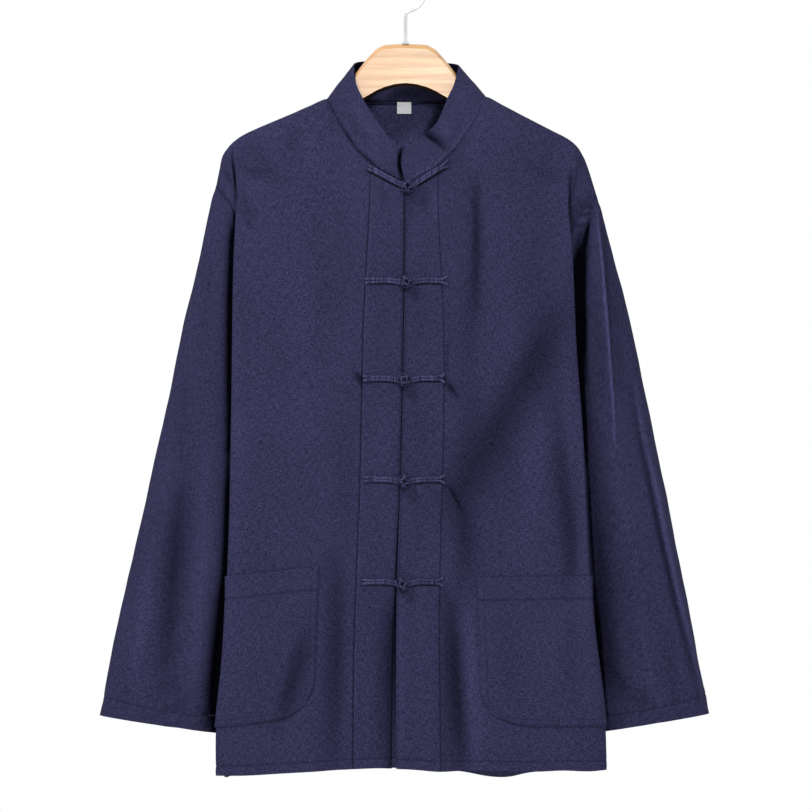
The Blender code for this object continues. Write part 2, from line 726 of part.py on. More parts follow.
def sleeve_point(side, face_sign, share, step):
    """Point of a sleeve. Step counts the armhole's rows from its tip to the armpit."""
    edge = SLEEVE_EDGE[side]
    tip_height = edge.rows[-1, 0]
    cuff_height = edge.rows[0, 0]
    outer_height = tip_height + share * (cuff_height - tip_height)
    outer = np.array((edge.at("out", outer_height), 0.0, outer_height))
    inner = np.array((SLEEVE_INSIDE.at("out", share), 0.0, SLEEVE_INSIDE.at("height", share)))
    armhole = armhole_point(side, UPPER_SHARES[step])
    tip = armhole_point(side, 0)
    pit = armhole_point(side, 1)
    chord = pit - tip
    seam_share = np.dot(armhole - tip, chord) / np.dot(chord, chord)
    bow = armhole - tip - seam_share * chord
    even_share = 0.5 - 0.5 * math.cos(math.pi * step / ARMPIT_ROW)
    blend = ease(share / SLEEVE_BLEND)
    round_share = seam_share + (even_share - seam_share) * blend
    point = outer + (inner - outer) * round_share
    point += (1 - blend) * np.array((bow[0], 0.0, bow[2]))
    column = "front_deep" if face_sign < 0 else "back_deep"
    swell = max(math.sin(math.pi * step / ARMPIT_ROW), 0.0) ** 0.8
    full = swell * SLEEVE_INSIDE.at(column, share)
    full -= sleeve_fold_amount(side, face_sign, share, round_share)
    deep = armhole[1] + (full - armhole[1]) * ease(share / (0.6 * SLEEVE_BLEND))
    point[1] = face_sign * deep
    point[0] *= SIDES[side]
    return point


def build_sleeve(side, cloth):
    outward = armhole_outward(side)
    steps = [(-1, step) for step in range(ARMPIT_ROW + 1)]
    steps += [(1, step) for step in range(ARMPIT_ROW - 1, 0, -1)]
    if side == "right":
        steps.reverse()
    net = np.empty((len(SLEEVE_SHARES), len(steps), 3))
    for row, share in enumerate(SLEEVE_SHARES):
        for index, (face_sign, step) in enumerate(steps):
            net[row, index] = sleeve_point(side, face_sign, share, step)
            near_pit = ease((step - ARMPIT_ROW + 3) / 2)
            gap = SEAM_GAP + (CLOTH / 2 + SEAM_GAP) * near_pit
            net[row, index] += outward * gap * (1 - ease(share / 0.1))
    normals = net_normals(net, closed=True)
    for index in range(len(steps)):
        normal = normals[0, index]
        normals[0, index] = unit(normal - np.dot(normal, outward) * outward)
    wall_from_net("sleeve_" + side, net, normals, CLOTH, cloth, closed=True)


def collar_base(side, place):
    """Straight between the panels' own points, so that the seam is even."""
    face = "front" if place <= 2 else "back"
    column = place if place <= 2 else 4 - place
    before = max(number for number in COLUMNS if number <= column)
    after = min(number for number in COLUMNS if number >= column)
    share = (column - before) / (after - before) if after > before else 0.0
    point = top_point(side, face, before) * (1 - share) + top_point(side, face, after) * share
    return point * np.array((SIDES[side], FACES[face], 1.0))


def collar_free_edge(side, place):
    edge = COLLAR_EDGE[side]
    return np.array((SIDES[side] * edge.at("out", place), edge.at("deep", place),
                     edge.at("height", place)))


def build_collar(cloth):
    places = [("left", step / 4) for step in range(17)]
    places += [("right", step / 4) for step in range(15, -1, -1)]
    levels = (0.0, 0.33, 0.67, 1.0)
    net = np.empty((len(levels), len(places), 3))
    for index, (side, place) in enumerate(places):
        base = collar_base(side, place)
        free = collar_free_edge(side, place)
        start = base + unit(free - base) * COLLAR_SEAM_GAP
        bulge = COLLAR_BULGE * math.exp(-((place - 2.3) / 0.6) ** 2)
        for row, level in enumerate(levels):
            point = start + (free - start) * level
            point[0] += SIDES[side] * bulge * math.sin(math.pi * level)
            if place == 0 and side == "left":
                point[0] -= COLLAR_END_ROUND * math.sin(math.pi * min(1.15 * level, 1.0))
            net[len(levels) - 1 - row, index] = point
    wall_from_net("collar", net, net_normals(net), COLLAR_CLOTH, cloth)


def build_pocket(side, panel, cloth):
    """Patch on a front panel: the panel's own points, moved out."""
    net, normals = panel
    first, last = POCKET_COLUMNS
    if side == "right":
        first, last = len(COLUMNS) - 1 - last, len(COLUMNS) - 1 - first
    rows = range(POCKET_ROWS[0], POCKET_ROWS[1] + 1)
    columns = range(first, last + 1)
    patch = np.empty((len(rows), len(columns), 3))
    facing = np.empty_like(patch)
    lift = CLOTH / 2 + SEAM_GAP + POCKET_CLOTH / 2
    for i, row in enumerate(rows):
        for j, column in enumerate(columns):
            row_place = float(row)
            column_place = float(column)
            from_edge = min(j, len(columns) - 1 - j)
            first_half = j == from_edge
            corner = POCKET_CORNER if first_half == (side == "left") else POCKET_FOLD_CORNER
            if i == len(rows) - 1 and from_edge < len(corner):
                inward, upward = corner[from_edge]
                row_place -= upward
                column_place += inward if first_half else -inward
            place, normal = on_net(net, normals, row_place, column_place)
            patch[i, j] = place + normal * lift
            facing[i, j] = normal
    wall_from_net("pocket_" + side, patch, facing, POCKET_CLOTH, cloth)


def on_net(net, normals, row, column):
    """Point and outward direction between the points of a net."""
    i = min(int(row), net.shape[0] - 2)
    j = min(int(column), net.shape[1] - 2)
    u = row - i
    v = column - j
    turn = (i + 1, j) if u >= v else (i, j + 1)
    corners = ((i, j), turn, (i + 1, j + 1))
    weights = (1 - max(u, v), abs(u - v), min(u, v))
    place = sum(weight * net[corner] for weight, corner in zip(weights, corners))
    normal = sum(weight * normals[corner] for weight, corner in zip(weights, corners))
    return place, normal


def surface_depth(panel, across, height, outward=1):
    """Depth of a panel's outer face, or its inner one, straight behind a place."""
    net, normals = panel
    face = net + outward * normals * CLOTH / 2
    nearest = None
    for i in range(face.shape[0] - 1):
        for j in range(face.shape[1] - 1):
            a, b, c, d = face[i, j], face[i + 1, j], face[i + 1, j + 1], face[i, j + 1]
            for p, q, r in ((a, b, c), (a, c, d)):
                area = (q[0] - p[0]) * (r[2] - p[2]) - (r[0] - p[0]) * (q[2] - p[2])
                if abs(area) < 1e-9:
                    continue
                u = ((across - p[0]) * (r[2] - p[2]) - (r[0] - p[0]) * (height - p[2])) / area
                v = ((q[0] - p[0]) * (height - p[2]) - (across - p[0]) * (q[2] - p[2])) / area
                if u >= -1e-6 and v >= -1e-6 and u + v <= 1 + 1e-6:
                    depth = p[1] + u * (q[1] - p[1]) + v * (r[1] - p[1])
                    nearest = depth if nearest is None else min(nearest, depth)
    return nearest


def front_depth(panels, across, height):
    """Depth of the nearer of the two fronts, also over the opening between them."""
    depths = [surface_depth(panels[side], across + nudge, height)
              for side in SIDES for nudge in (-0.002, 0.0, 0.002)]
    depths = [depth for depth in depths if depth is not None]
    return min(depths)


def tube_faces(rings, count):
    """Faces of a closed tube through rings of points, with a cap at each end."""
    faces = []
    for ring in range(rings - 1):
        for index in range(count):
            after = (index + 1) % count
            near = ring * count
            far = near + count
            faces.append((near + index, far + index, far + after, near + after))
    faces.append(tuple(range(count)))
    faces.append(tuple(range(rings * count - 1, (rings - 1) * count - 1, -1)))
    return faces


def sweep(name, path, outlines, material, upright):
    """Closed body through one outline at each point of a path."""
    path = np.array(path)
    tangents = np.gradient(path, axis=0)
    points = []
    count = len(outlines[0])
    for place, tangent, outline in zip(path, tangents, outlines):
        forward = unit(tangent)
        across = unit(np.cross(forward, upright))
        up = np.cross(across, forward)
        for a, b in outline:
            points.append(place + across * a + up * b)
    return add_piece(name, points, tube_faces(len(path), count), material)


def circle(radius, count, flat=1.0):
    return [(radius * math.cos(2 * math.pi * k / count),
             flat * radius * math.sin(2 * math.pi * k / count)) for k in range(count)]


def double_cord(radius, count):
    """Outline of two cords sewn side by side."""
    outline = []
    for k in range(count):
        angle = 2 * math.pi * k / count
        out = 2.0 * radius * math.cos(angle)
        pinch = 1 - 0.28 * math.exp(-(out / (0.6 * radius)) ** 2)
        outline.append((out, radius * pinch * math.copysign(abs(math.sin(angle)) ** 0.6,
                                                            math.sin(angle))))
    return outline


def frog_seat(number, panels, across, rise, offset=0.0):
    """Place over the fronts along one frog, a rise above the cloth."""
    slope = FROG_SLOPE if number == 0 else 0.0
    from_knot = max(abs(across - KNOT_ACROSS[number]) - 0.004, 0.0)
    height = FROG_HEIGHTS[number] + slope * from_knot + offset
    return np.array((across, front_depth(panels, across, height) - rise, height))


def build_frog_knot(number, panels, cord):
    """A doubled cord bar that turns up from the cloth and ends in its ball."""
    lift = CORD_RADIUS + SEAM_GAP + CORD_CLEARANCE
    path = [frog_seat(number, panels, across, lift) for across in BAR_STATIONS]
    outlines = [double_cord(CORD_RADIUS, 10) for _ in path]
    neck = frog_seat(number, panels, KNOT_ACROSS[number], 0.0)
    path.append(neck + np.array((-0.0042, -lift, 0.0)))
    outlines.append(double_cord(CORD_RADIUS * 0.85, 10))
    turned_up = 2 * CORD_RADIUS + SEAM_GAP + 0.0026
    for across, rise in ((-0.0012, lift + 0.0011), (0.0, turned_up)):
        path.append(neck + np.array((across, -rise, 0.0)))
        outlines.append(circle(KNOT_NECK_RADIUS, 10))
    for angle in (28, 55, 90, 125, 152, 168):
        turn = math.radians(angle)
        rise = KNOT_RISE - KNOT_RADIUS * 0.86 * math.cos(turn)
        path.append(neck + np.array((0.0, -rise, 0.0)))
        outlines.append(circle(KNOT_RADIUS * math.sin(turn), 10))
    points = []
    bar = len(BAR_STATIONS) + 1
    for index, (place, outline) in enumerate(zip(path, outlines)):
        if index < bar:
            along = path[index + 1] - path[max(index - 1, 0)]
            forward = unit(along * (1.0, 0.0, 1.0))
            up = np.array((0.0, -1.0, 0.0))
        elif index == bar:
            forward = unit(np.array((1.0, -1.0, 0.0)))
            up = unit(np.array((-1.0, -1.0, 0.0)))
        else:
            forward = np.array((0.0, -1.0, 0.0))
            up = np.array((-1.0, 0.0, 0.0))
        across = np.cross(forward, up)
        points += [place + across * a + up * b for a, b in outline]
    add_piece("frog_knot_%d" % (number + 1), points, tube_faces(len(path), 10), cord)


def build_frog_loop(number, panels, cord):
    """A cord that runs out along the bar, round the knot's neck and back."""
    lift = CORD_RADIUS + SEAM_GAP + CORD_CLEARANCE
    leg = CORD_RADIUS + 1.5 * CORD_CLEARANCE
    near = KNOT_ACROSS[number]
    legs = [tuple(row) for row in LOOP_LEG] + [(near + 0.0085, 0.0, 0.0006),
                                               (near + 0.0045, 0.0014, 0.0030)]
    upper = [frog_seat(number, panels, across, lift + rise, leg + spread)
             for across, spread, rise in legs]
    lower = [frog_seat(number, panels, across, lift + rise, -leg - spread)
             for across, spread, rise in reversed(legs)]
    neck = frog_seat(number, panels, near, 0.0)
    around = []
    for angle in range(60, 301, 40):
        turn = math.radians(angle)
        around.append(neck + np.array((LOOP_RADIUS * math.cos(turn), -LOOP_RISE,
                                       LOOP_RADIUS * math.sin(turn))))
    path = upper + around + lower
    outlines = [circle(CORD_RADIUS * 0.96, 6) for _ in path]
    sweep("frog_loop_%d" % (number + 1), path, outlines, cord, np.array((0.0, -1.0, 0.0)))


def build_label(panel, white):
    """Small size label that hangs inside the back, from the neck seam."""
    top_height = NECK_SEAM["back"].at("height", 0) - LABEL_DROP
    half = LABEL_WIDTH / 2
    points = []
    for clear in (SEAM_GAP, SEAM_GAP + LABEL_CLOTH):
        for across in (LABEL_ACROSS - half, LABEL_ACROSS + half):
            for height in (top_height, top_height - LABEL_LENGTH):
                depth = surface_depth(panel, across, height, outward=-1) - clear
                points.append((across, depth, height))
    faces = [(0, 2, 3, 1), (4, 5, 7, 6), (0, 1, 5, 4), (2, 6, 7, 3), (0, 4, 6, 2), (1, 3, 7, 5)]
    add_piece("size_label", points, faces, white, smooth_angle=20)


def hanger_levels(side, out):
    """Top and foot of the hanger at one half width: board, then arm under the ridge."""
    if out <= HANGER_BOARD_OUT:
        return HANGER_BOARD.at("top", out), HANGER_BOARD.at("foot", out)
    ridge = RIDGE[side]
    clear = CLOTH / 2 + SEAM_GAP
    columns = [2 + 0.02 * k for k in range(160)]
    outs = [ridge.at("out", column) for column in columns]
    heights = [ridge.at("height", column) for column in columns]
    if out >= outs[0]:
        height = float(np.interp(out, outs, heights))
        slope = math.cos(math.atan2(heights[0] - heights[-1], outs[-1] - outs[0]))
        top = height - clear / slope
        if out < outs[0] + 0.001:
            top -= NECK_CLEARANCE
    else:
        start = HANGER_BOARD.at("top", HANGER_BOARD_OUT)
        end = heights[0] - clear - NECK_CLEARANCE
        top = start + (end - start) * (out - HANGER_BOARD_OUT) / (outs[0] - HANGER_BOARD_OUT)
    foot = top - HANGER_ARM_HIGH * (1 - 0.35 * ease((out - 0.12) / 0.06))
    return top, foot


def hanger_stations(side):
    """Half width, top and foot of each section of one half of the hanger."""
    outs = [0.012, 0.024, 0.033, 0.042, 0.050, 0.059, 0.068, 0.078]
    outs += [RIDGE[side].at("out", column) for column in (2, 2.5, 3, 3.5, 4)]
    stations = [(out,) + hanger_levels(side, out) for out in outs]
    for inward, top_cut, foot_cut in HANGER_END:
        out = HANGER_END_OUT - inward
        top, foot = hanger_levels(side, out)
        stations.append((out, top - top_cut, foot + foot_cut))
    return [(SIDES[side] * out, top, foot) for out, top, foot in stations]


def build_hanger(wood):
    middle = (0.0,) + hanger_levels("left", 0.0)
    stations = hanger_stations("right")[::-1] + [middle] + hanger_stations("left")
    points = []
    thick = HANGER_HALF_THICKNESS
    for across, top, foot in stations:
        for deep, level in ((0.0, top), (0.5 * thick, top - 0.0018), (thick, top - 0.0055),
                            (thick, foot + 0.0030), (0.5 * thick, foot),
                            (-0.5 * thick, foot), (-thick, foot + 0.0030),
                            (-thick, top - 0.0055), (-0.5 * thick, top - 0.0018)):
            points.append((across, deep, level))
    add_piece("hanger_wood", points, tube_faces(len(stations), 9), wood, smooth_angle=35)


def build_hook(chrome):
    """Bent wire: a stem out of the wood and an open hook round the origin's rod."""
    middle = HOOK_INSIDE + HOOK_WIRE
    centre = -HOOK_INSIDE
    path = [(0.0, HANGER_TOP + SEAM_GAP + 0.006 * k) for k in range(6)]
    path += [(0.0012, -0.0436), (0.0048, -0.0411)]
    for angle in range(-60, 201, 10):
        turn = math.radians(angle)
        path.append((middle * math.cos(turn), centre + middle * math.sin(turn)))
    spots = [np.array((across, 0.0, height)) for across, height in path]
    outlines = [circle(HOOK_WIRE, 8) for _ in spots]
    sweep("hanger_hook", spots, outlines, chrome, np.array((0.0, 1.0, 0.0)))


def build_ferrule(chrome):
    """Small turned ring where the hook's stem meets the wood."""
    bore = HOOK_WIRE + SEAM_GAP
    foot = HANGER_TOP + SEAM_GAP
    profile = ((bore, foot), (FERRULE_RADIUS, foot), (FERRULE_RADIUS, foot + FERRULE_RIM),
               (0.7 * FERRULE_RADIUS, foot + FERRULE_HEIGHT), (bore, foot + FERRULE_HEIGHT))
    count = 16
    points = []
    for k in range(count):
        turn = 2 * math.pi * k / count
        for radius, height in profile:
            points.append((radius * math.cos(turn), radius * math.sin(turn), height))
    size = len(profile)
    faces = []
    for k in range(count):
        near = k * size
        far = ((k + 1) % count) * size
        for index in range(size):
            after = (index + 1) % size
            faces.append((near + index, far + index, far + after, near + after))
    add_piece("hook_ferrule", points, faces, chrome)


def main():
    clear_scene()
    names = ("front_right", "front_left", "back", "sleeve_right", "sleeve_left", "collar",
             "pocket_right", "pocket_left")
    cloths = {name: finish_material(name + "_cotton", NAVY, 0.92) for name in names}
    panels = {}
    for side in SIDES:
        panels[side] = build_front(side, cloths["front_" + side])
        build_sleeve(side, cloths["sleeve_" + side])
        build_pocket(side, panels[side], cloths["pocket_" + side])
    back = build_back(cloths["back"])
    build_collar(cloths["collar"])
    for number in range(len(FROG_HEIGHTS)):
        knot_cord = finish_material("knot_cord_%d" % (number + 1), NAVY_CORD, 0.85)
        loop_cord = finish_material("loop_cord_%d" % (number + 1), NAVY_CORD, 0.85)
        build_frog_knot(number, panels, knot_cord)
        build_frog_loop(number, panels, loop_cord)
    build_label(back, finish_material("label_weave", LABEL_WHITE, 0.8))
    build_hanger(finish_material("hanger_varnished_wood", PALE_WOOD, 0.35))
    build_hook(finish_material("hook_chrome", CHROME, 0.18, metallic=1.0))
    build_ferrule(finish_material("ferrule_chrome", CHROME, 0.25, metallic=1.0))


main()
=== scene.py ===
# %% [markdown]
# # A cotton jacket with knotted fastenings, on a wooden hanger
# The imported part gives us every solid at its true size. In this lesson we dress it: each cloth piece
# becomes a thin shell with soft creases, the cords become real cords with tied knots, and every
# surface gets a finish made from nodes.

# %% Load the frame
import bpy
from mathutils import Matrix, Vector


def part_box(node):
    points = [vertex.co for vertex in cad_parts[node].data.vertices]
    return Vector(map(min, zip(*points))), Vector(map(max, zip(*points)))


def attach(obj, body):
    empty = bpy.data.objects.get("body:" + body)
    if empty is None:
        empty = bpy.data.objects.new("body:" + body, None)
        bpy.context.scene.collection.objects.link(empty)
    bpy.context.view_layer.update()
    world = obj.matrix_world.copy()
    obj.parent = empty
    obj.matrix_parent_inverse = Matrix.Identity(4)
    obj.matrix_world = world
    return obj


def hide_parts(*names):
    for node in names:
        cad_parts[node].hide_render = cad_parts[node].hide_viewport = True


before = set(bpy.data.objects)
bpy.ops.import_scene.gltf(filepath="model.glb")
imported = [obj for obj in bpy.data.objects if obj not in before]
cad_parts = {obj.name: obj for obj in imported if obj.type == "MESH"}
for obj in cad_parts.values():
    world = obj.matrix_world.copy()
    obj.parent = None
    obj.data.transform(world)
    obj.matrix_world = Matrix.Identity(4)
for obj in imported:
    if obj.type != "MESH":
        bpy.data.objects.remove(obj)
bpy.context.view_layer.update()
print("nodes:", len(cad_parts))

# %% [markdown]
# ## Tools
# Cloth is easiest to handle as a net: rows that go down the piece and places that go across it.
# The photograph was read at 1.1 mm to a pixel, so one small helper turns a place seen in it into metres.

# %% Tools and measures
import math
import bmesh
import bpy
import numpy as np
from mathutils import Vector, noise
from mathutils.bvhtree import BVHTree

MM = 0.001
PIXEL_MM = 1.1
PIXEL = PIXEL_MM * MM
PHOTO_SIZE = 812
PHOTO_MIDDLE = (405.5, 406)
MIDDLE_HEIGHT = -0.483
FRONT_PLANE = -0.050
CAMERA_DISTANCE = 3.0
CLOTH_THICKNESS = 1.1 * MM
SAMPLE = 3.8 * MM
bpy.ops.object.select_all(action="DESELECT")


def millimetres(*values):
    return tuple(value * MM for value in values)


def seen(across, down, depth=-0.040):
    """The x and z of a place seen in the photograph, for cloth at that depth."""
    nearness = 1 + (depth - FRONT_PLANE) / CAMERA_DISTANCE
    return ((across - PHOTO_MIDDLE[0]) * PIXEL * nearness,
            MIDDLE_HEIGHT - (down - PHOTO_MIDDLE[1]) * PIXEL * nearness)


def spans(points):
    """The distance from each point of a line to the next."""
    return np.linalg.norm(np.diff(points, axis=0), axis=1)


def running(lengths):
    """The running total of lengths, from 0."""
    return np.concatenate([[0], np.cumsum(lengths)])


print("one pixel is", PIXEL, "m")

# %% [markdown]
# ## Taking the pattern from the solid
# A garment maker takes a pattern from a finished coat by laying paper over each piece. We do the same:
# the outer side of each cloth solid is read as a net, so that the thin shell lies where the solid says.
# The narrow faces round the rim are dropped first, then the side that faces outward is kept.


# %% Read the outer side of a cloth solid
def outer_side(name, wall, slack):
    """A mesh of the outer side of a cloth solid of that wall, without its rim."""
    mesh = bmesh.new()
    mesh.from_mesh(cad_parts[name].data)
    bmesh.ops.remove_doubles(mesh, verts=mesh.verts[:], dist=1e-6)
    rim = [f for f in mesh.faces if any(abs(e.calc_length() - wall) < slack for e in f.edges)]
    bmesh.ops.delete(mesh, geom=rim, context="FACES")
    seen_faces = set()
    sides = []
    for face in mesh.faces:
        if face in seen_faces:
            continue
        side = [face]
        seen_faces.add(face)
        for member in side:
            for edge in member.edges:
                for other in edge.link_faces:
                    if other not in seen_faces:
                        seen_faces.add(other)
                        side.append(other)
        sides.append(side)
    facing = [sum(f.calc_area() * f.normal.y * f.calc_center_median().y for f in s) for s in sides]
    keep = set(sides[facing.index(max(facing))])
    bmesh.ops.delete(mesh, geom=[f for f in mesh.faces if f not in keep], context="FACES")
    bmesh.ops.delete(mesh, geom=[v for v in mesh.verts if not v.link_faces], context="VERTS")
    return mesh


def neighbours(vertex):
    return {edge.other_vert(vertex) for edge in vertex.link_edges}


def read_net(name, wall, slack=1e-6):
    """The outer side of a cloth solid as points, row by row from the top."""
    mesh = outer_side(name, wall, slack)
    before, after = {}, {}
    for edge in mesh.edges:
        if len(edge.link_faces) == 1:
            loop = edge.link_loops[0]
            before[loop.link_loop_next.vert] = loop.vert
            after[loop.vert] = loop.link_loop_next.vert
    corners = [vertex for vertex in before if len(vertex.link_faces) == 2]
    first = max(corners or before, key=lambda vertex: vertex.co.z)
    row = [first]
    while len(row) == 1 or len(row[-1].link_faces) != 1:
        if before[row[-1]] is first:
            break
        row.append(before[row[-1]])
    used = set(row)
    rows = [row]
    while len(used) < len(mesh.verts):
        last = rows[-1]
        if corners:
            row = [after[last[0]]]
        else:
            row = [((neighbours(last[-1]) & neighbours(last[0])) - used).pop()]
        used.add(row[0])
        for left, right in zip(last, last[1:]):
            row.append(((neighbours(left) & neighbours(right)) - used).pop())
            used.add(row[-1])
        rows.append(row)
    net = np.array([[tuple(vertex.co) for vertex in row] for row in rows])
    mesh.free()
    print(name, "net", net.shape[:2])
    return net


# %% [markdown]
# ## Making a net finer
# The solid's net is coarse. A smooth curve through its points, first down and then across, gives rows
# and places a few millimetres apart. Extra places beside the seams leave room for the sunken stitch line.


# %% Curves through the points of a net
def smooth_line(points, where):
    """Points on a smooth curve through points; where 2.5 is halfway from point 2 to point 3."""
    steps = spans(points)
    pace = np.diff(points, axis=0) / steps[:, None]
    before, after = steps[:-1, None], steps[1:, None]
    middle = (pace[:-1] * after + pace[1:] * before) / (before + after)
    slope = np.vstack([pace[:1], middle, pace[-1:]])
    span = np.clip(np.floor(where).astype(int), 0, len(steps) - 1)
    t = (where - span)[:, None]
    size = steps[span][:, None]
    return ((2 * t**3 - 3 * t**2 + 1) * points[span] + (t**3 - 2 * t**2 + t) * size * slope[span]
            + (3 * t**2 - 2 * t**3) * points[span + 1] + (t**3 - t**2) * size * slope[span + 1])


def smooth_ring(points, where):
    """The same round a closed ring."""
    padded = np.vstack([points[-2:], points, points[:3]])
    return smooth_line(padded, where + 2)


def even_places(lengths, sample, first_span=(), last_span=(), own=None):
    """Places along spans of these lengths, about a sample apart, counted in spans.

    first_span and last_span are distances from the ends that get a place of their own; own has the
    spans of one line, where those distances are measured on it."""
    own = lengths if own is None else own
    places = [0.0]
    for index, length in enumerate(lengths):
        count = max(1, round(length / sample))
        inside = [k / count for k in range(1, count)]
        if index == 0 and first_span:
            inside = near_and_far(first_span, own[0], sample, length)
        if index == len(lengths) - 1 and last_span:
            inside = sorted(1 - share for share in near_and_far(last_span, own[-1], sample, length))
        places += [index + share for share in inside] + [index + 1.0]
    return np.array(places)


def near_and_far(distances, own, sample, length):
    """Shares of a span: the given distances, then even steps to its far end."""
    near = [d / own for d in distances]
    count = max(1, round((length - distances[-1]) / sample))
    return near + [near[-1] + (1 - near[-1]) * k / count for k in range(1, count)]


def mean_spans(net, axis):
    return np.linalg.norm(np.diff(net, axis=axis), axis=2).mean(axis=1 - axis)


def finer(net, sample=SAMPLE, closed=False, foot=(), top=(), across=None, sample_across=None):
    """The net with more rows and places; foot and top are distances from its last and first row."""
    lines = []
    for c in range(net.shape[1]):
        own = spans(net[:, c])
        lines.append(smooth_line(net[:, c], even_places(mean_spans(net, 0), sample, top, foot, own)))
    net = np.stack(lines, axis=1)
    if closed:
        ring = np.concatenate([net, net[:, :1]], axis=1)
        places = even_places(mean_spans(ring, 1), sample_across or sample)[:-1]
        return np.stack([smooth_ring(row, places) for row in net])
    if across:
        return np.stack([smooth_line(row, across(row)) for row in net])
    places = even_places(mean_spans(net, 1), sample)
    return np.stack([smooth_line(row, places) for row in net])


def net_normals(net, closed=False):
    """Directions outward from the net."""
    down = np.gradient(net, axis=0)
    if closed:
        along = np.roll(net, -1, axis=1) - np.roll(net, 1, axis=1)
    else:
        along = np.gradient(net, axis=1)
    normals = np.cross(down, along)
    return normals / np.linalg.norm(normals, axis=2)[:, :, None]


# %% [markdown]
# ## Creases
# Hung cotton is never quite flat: it keeps soft troughs and ridges from folding and from the pull of
# its seams. Each crease here is a path with a width on either side and a depth. A low
# wandering unevenness lies under all of them.

# %% Creases and unevenness
def crease(x, z, path, left, right, depth, power=2):
    """How far one crease moves the cloth out at each x and z; widths and depth in millimetres."""
    path = np.array(path)
    nearest = np.full(x.shape, 1e9)
    side = np.zeros(x.shape)
    share = np.zeros(x.shape)
    for k in range(len(path) - 1):
        step = path[k + 1] - path[k]
        t = np.clip(((x - path[k][0]) * step[0] + (z - path[k][1]) * step[1]) / (step @ step), 0, 1)
        dx = x - path[k][0] - t * step[0]
        dz = z - path[k][1] - t * step[1]
        gap = np.hypot(dx, dz)
        closer = gap < nearest
        nearest = np.where(closer, gap, nearest)
        side = np.where(closer, step[0] * dz - step[1] * dx, side)
        share = np.where(closer, (k + t) / (len(path) - 1), share)
    width = np.where(side > 0, right, left) * MM
    fade = np.sin(math.pi * np.clip(share, 0.04, 0.96)) ** 0.6
    return depth * MM * np.exp(-((nearest / width) ** power)) * fade


# A crease this deep gets the full painted shade in its trough, or painted light on its ridge.
FULL_TONE_MOVE = 4.0 * MM


def creases(x, z, rows):
    """Movement and tone of all creases of a table. A narrow crease is crisper than a broad drape, and it
    gets more painted shade in its trough; a ridge gets painted light."""
    total = np.zeros(x.shape)
    tone = np.zeros(x.shape)
    for path, left, right, depth in rows:
        crispness = 1.0 + 0.9 * np.clip((9 - left) / 5, 0, 1)
        move = crease(x, z, path, left * PIXEL_MM, right * PIXEL_MM, depth * crispness)
        total += move
        tone += move / FULL_TONE_MOVE * (0.45 + 0.55 * np.clip((6 - left) / 3, 0, 1))
    return total, tone


def shadows(x, z, rows, power=4):
    """Painted shade where little light reaches, or painted highlight where depth is above 0; power 2 is
    softer.
    """
    return sum(crease(x, z, path, left * PIXEL_MM, right * PIXEL_MM, depth, power) / MM
               for path, left, right, depth in rows)


def unevenness(points, size, height, seed):
    """A low wandering unevenness with bumps of about that size."""
    flat = points.reshape(-1, 3)
    values = [noise.noise(Vector((x / size + seed, y / size, z / size * 0.6))) for x, y, z in flat]
    return height * np.array(values).reshape(points.shape[:2])


def facing(normals, direction):
    """From 0 to 1: how much the cloth faces the front (-1) or the back (+1)."""
    return np.clip((direction * normals[:, :, 1] - 0.30) / 0.45, 0, 1)


def fade_in(distance, reach):
    share = np.clip(distance / reach, 0, 1)
    return share * share * (3 - 2 * share)


def from_edge(net, axis, at_end=False):
    """How far each point lies from the net's first (or last) row or column, along the cloth."""
    steps = np.linalg.norm(np.diff(net, axis=axis), axis=2)
    total = np.cumsum(steps, axis=axis)
    zero = np.zeros_like(np.take(total, [0], axis=axis))
    total = np.concatenate([zero, total], axis=axis)
    return np.take(total, [-1], axis=axis) - total if at_end else total


def both_ends(net, reach):
    """Fades in from the net's first and last column."""
    return fade_in(from_edge(net, 1), reach) * fade_in(from_edge(net, 1, at_end=True), reach)


def ridge(distance, place, width, height):
    """A rounded ridge along a line at that place, all three in millimetres."""
    return height * MM * np.exp(-(((distance - place * MM) / (width * MM)) ** 2))


# %% [markdown]
# ## Where the creases lie
# Each row below is one crease: its width in pixels on either side, its depth in millimetres (or, for the
# shadow and soft shade tables, its painted tone: painted shade below 0, painted highlight above 0), and
# then the pixels that its path runs through, across and down.


# %% Tables of creases and shadows
def table(text):
    """Rows of numbers under a line of column names."""
    rows = []
    for line in text.strip().splitlines()[1:]:
        left, right, depth, *path = line.split()
        places = [seen(*map(float, place.split(","))) for place in path]
        rows.append((places, float(left), float(right), float(depth)))
    return rows


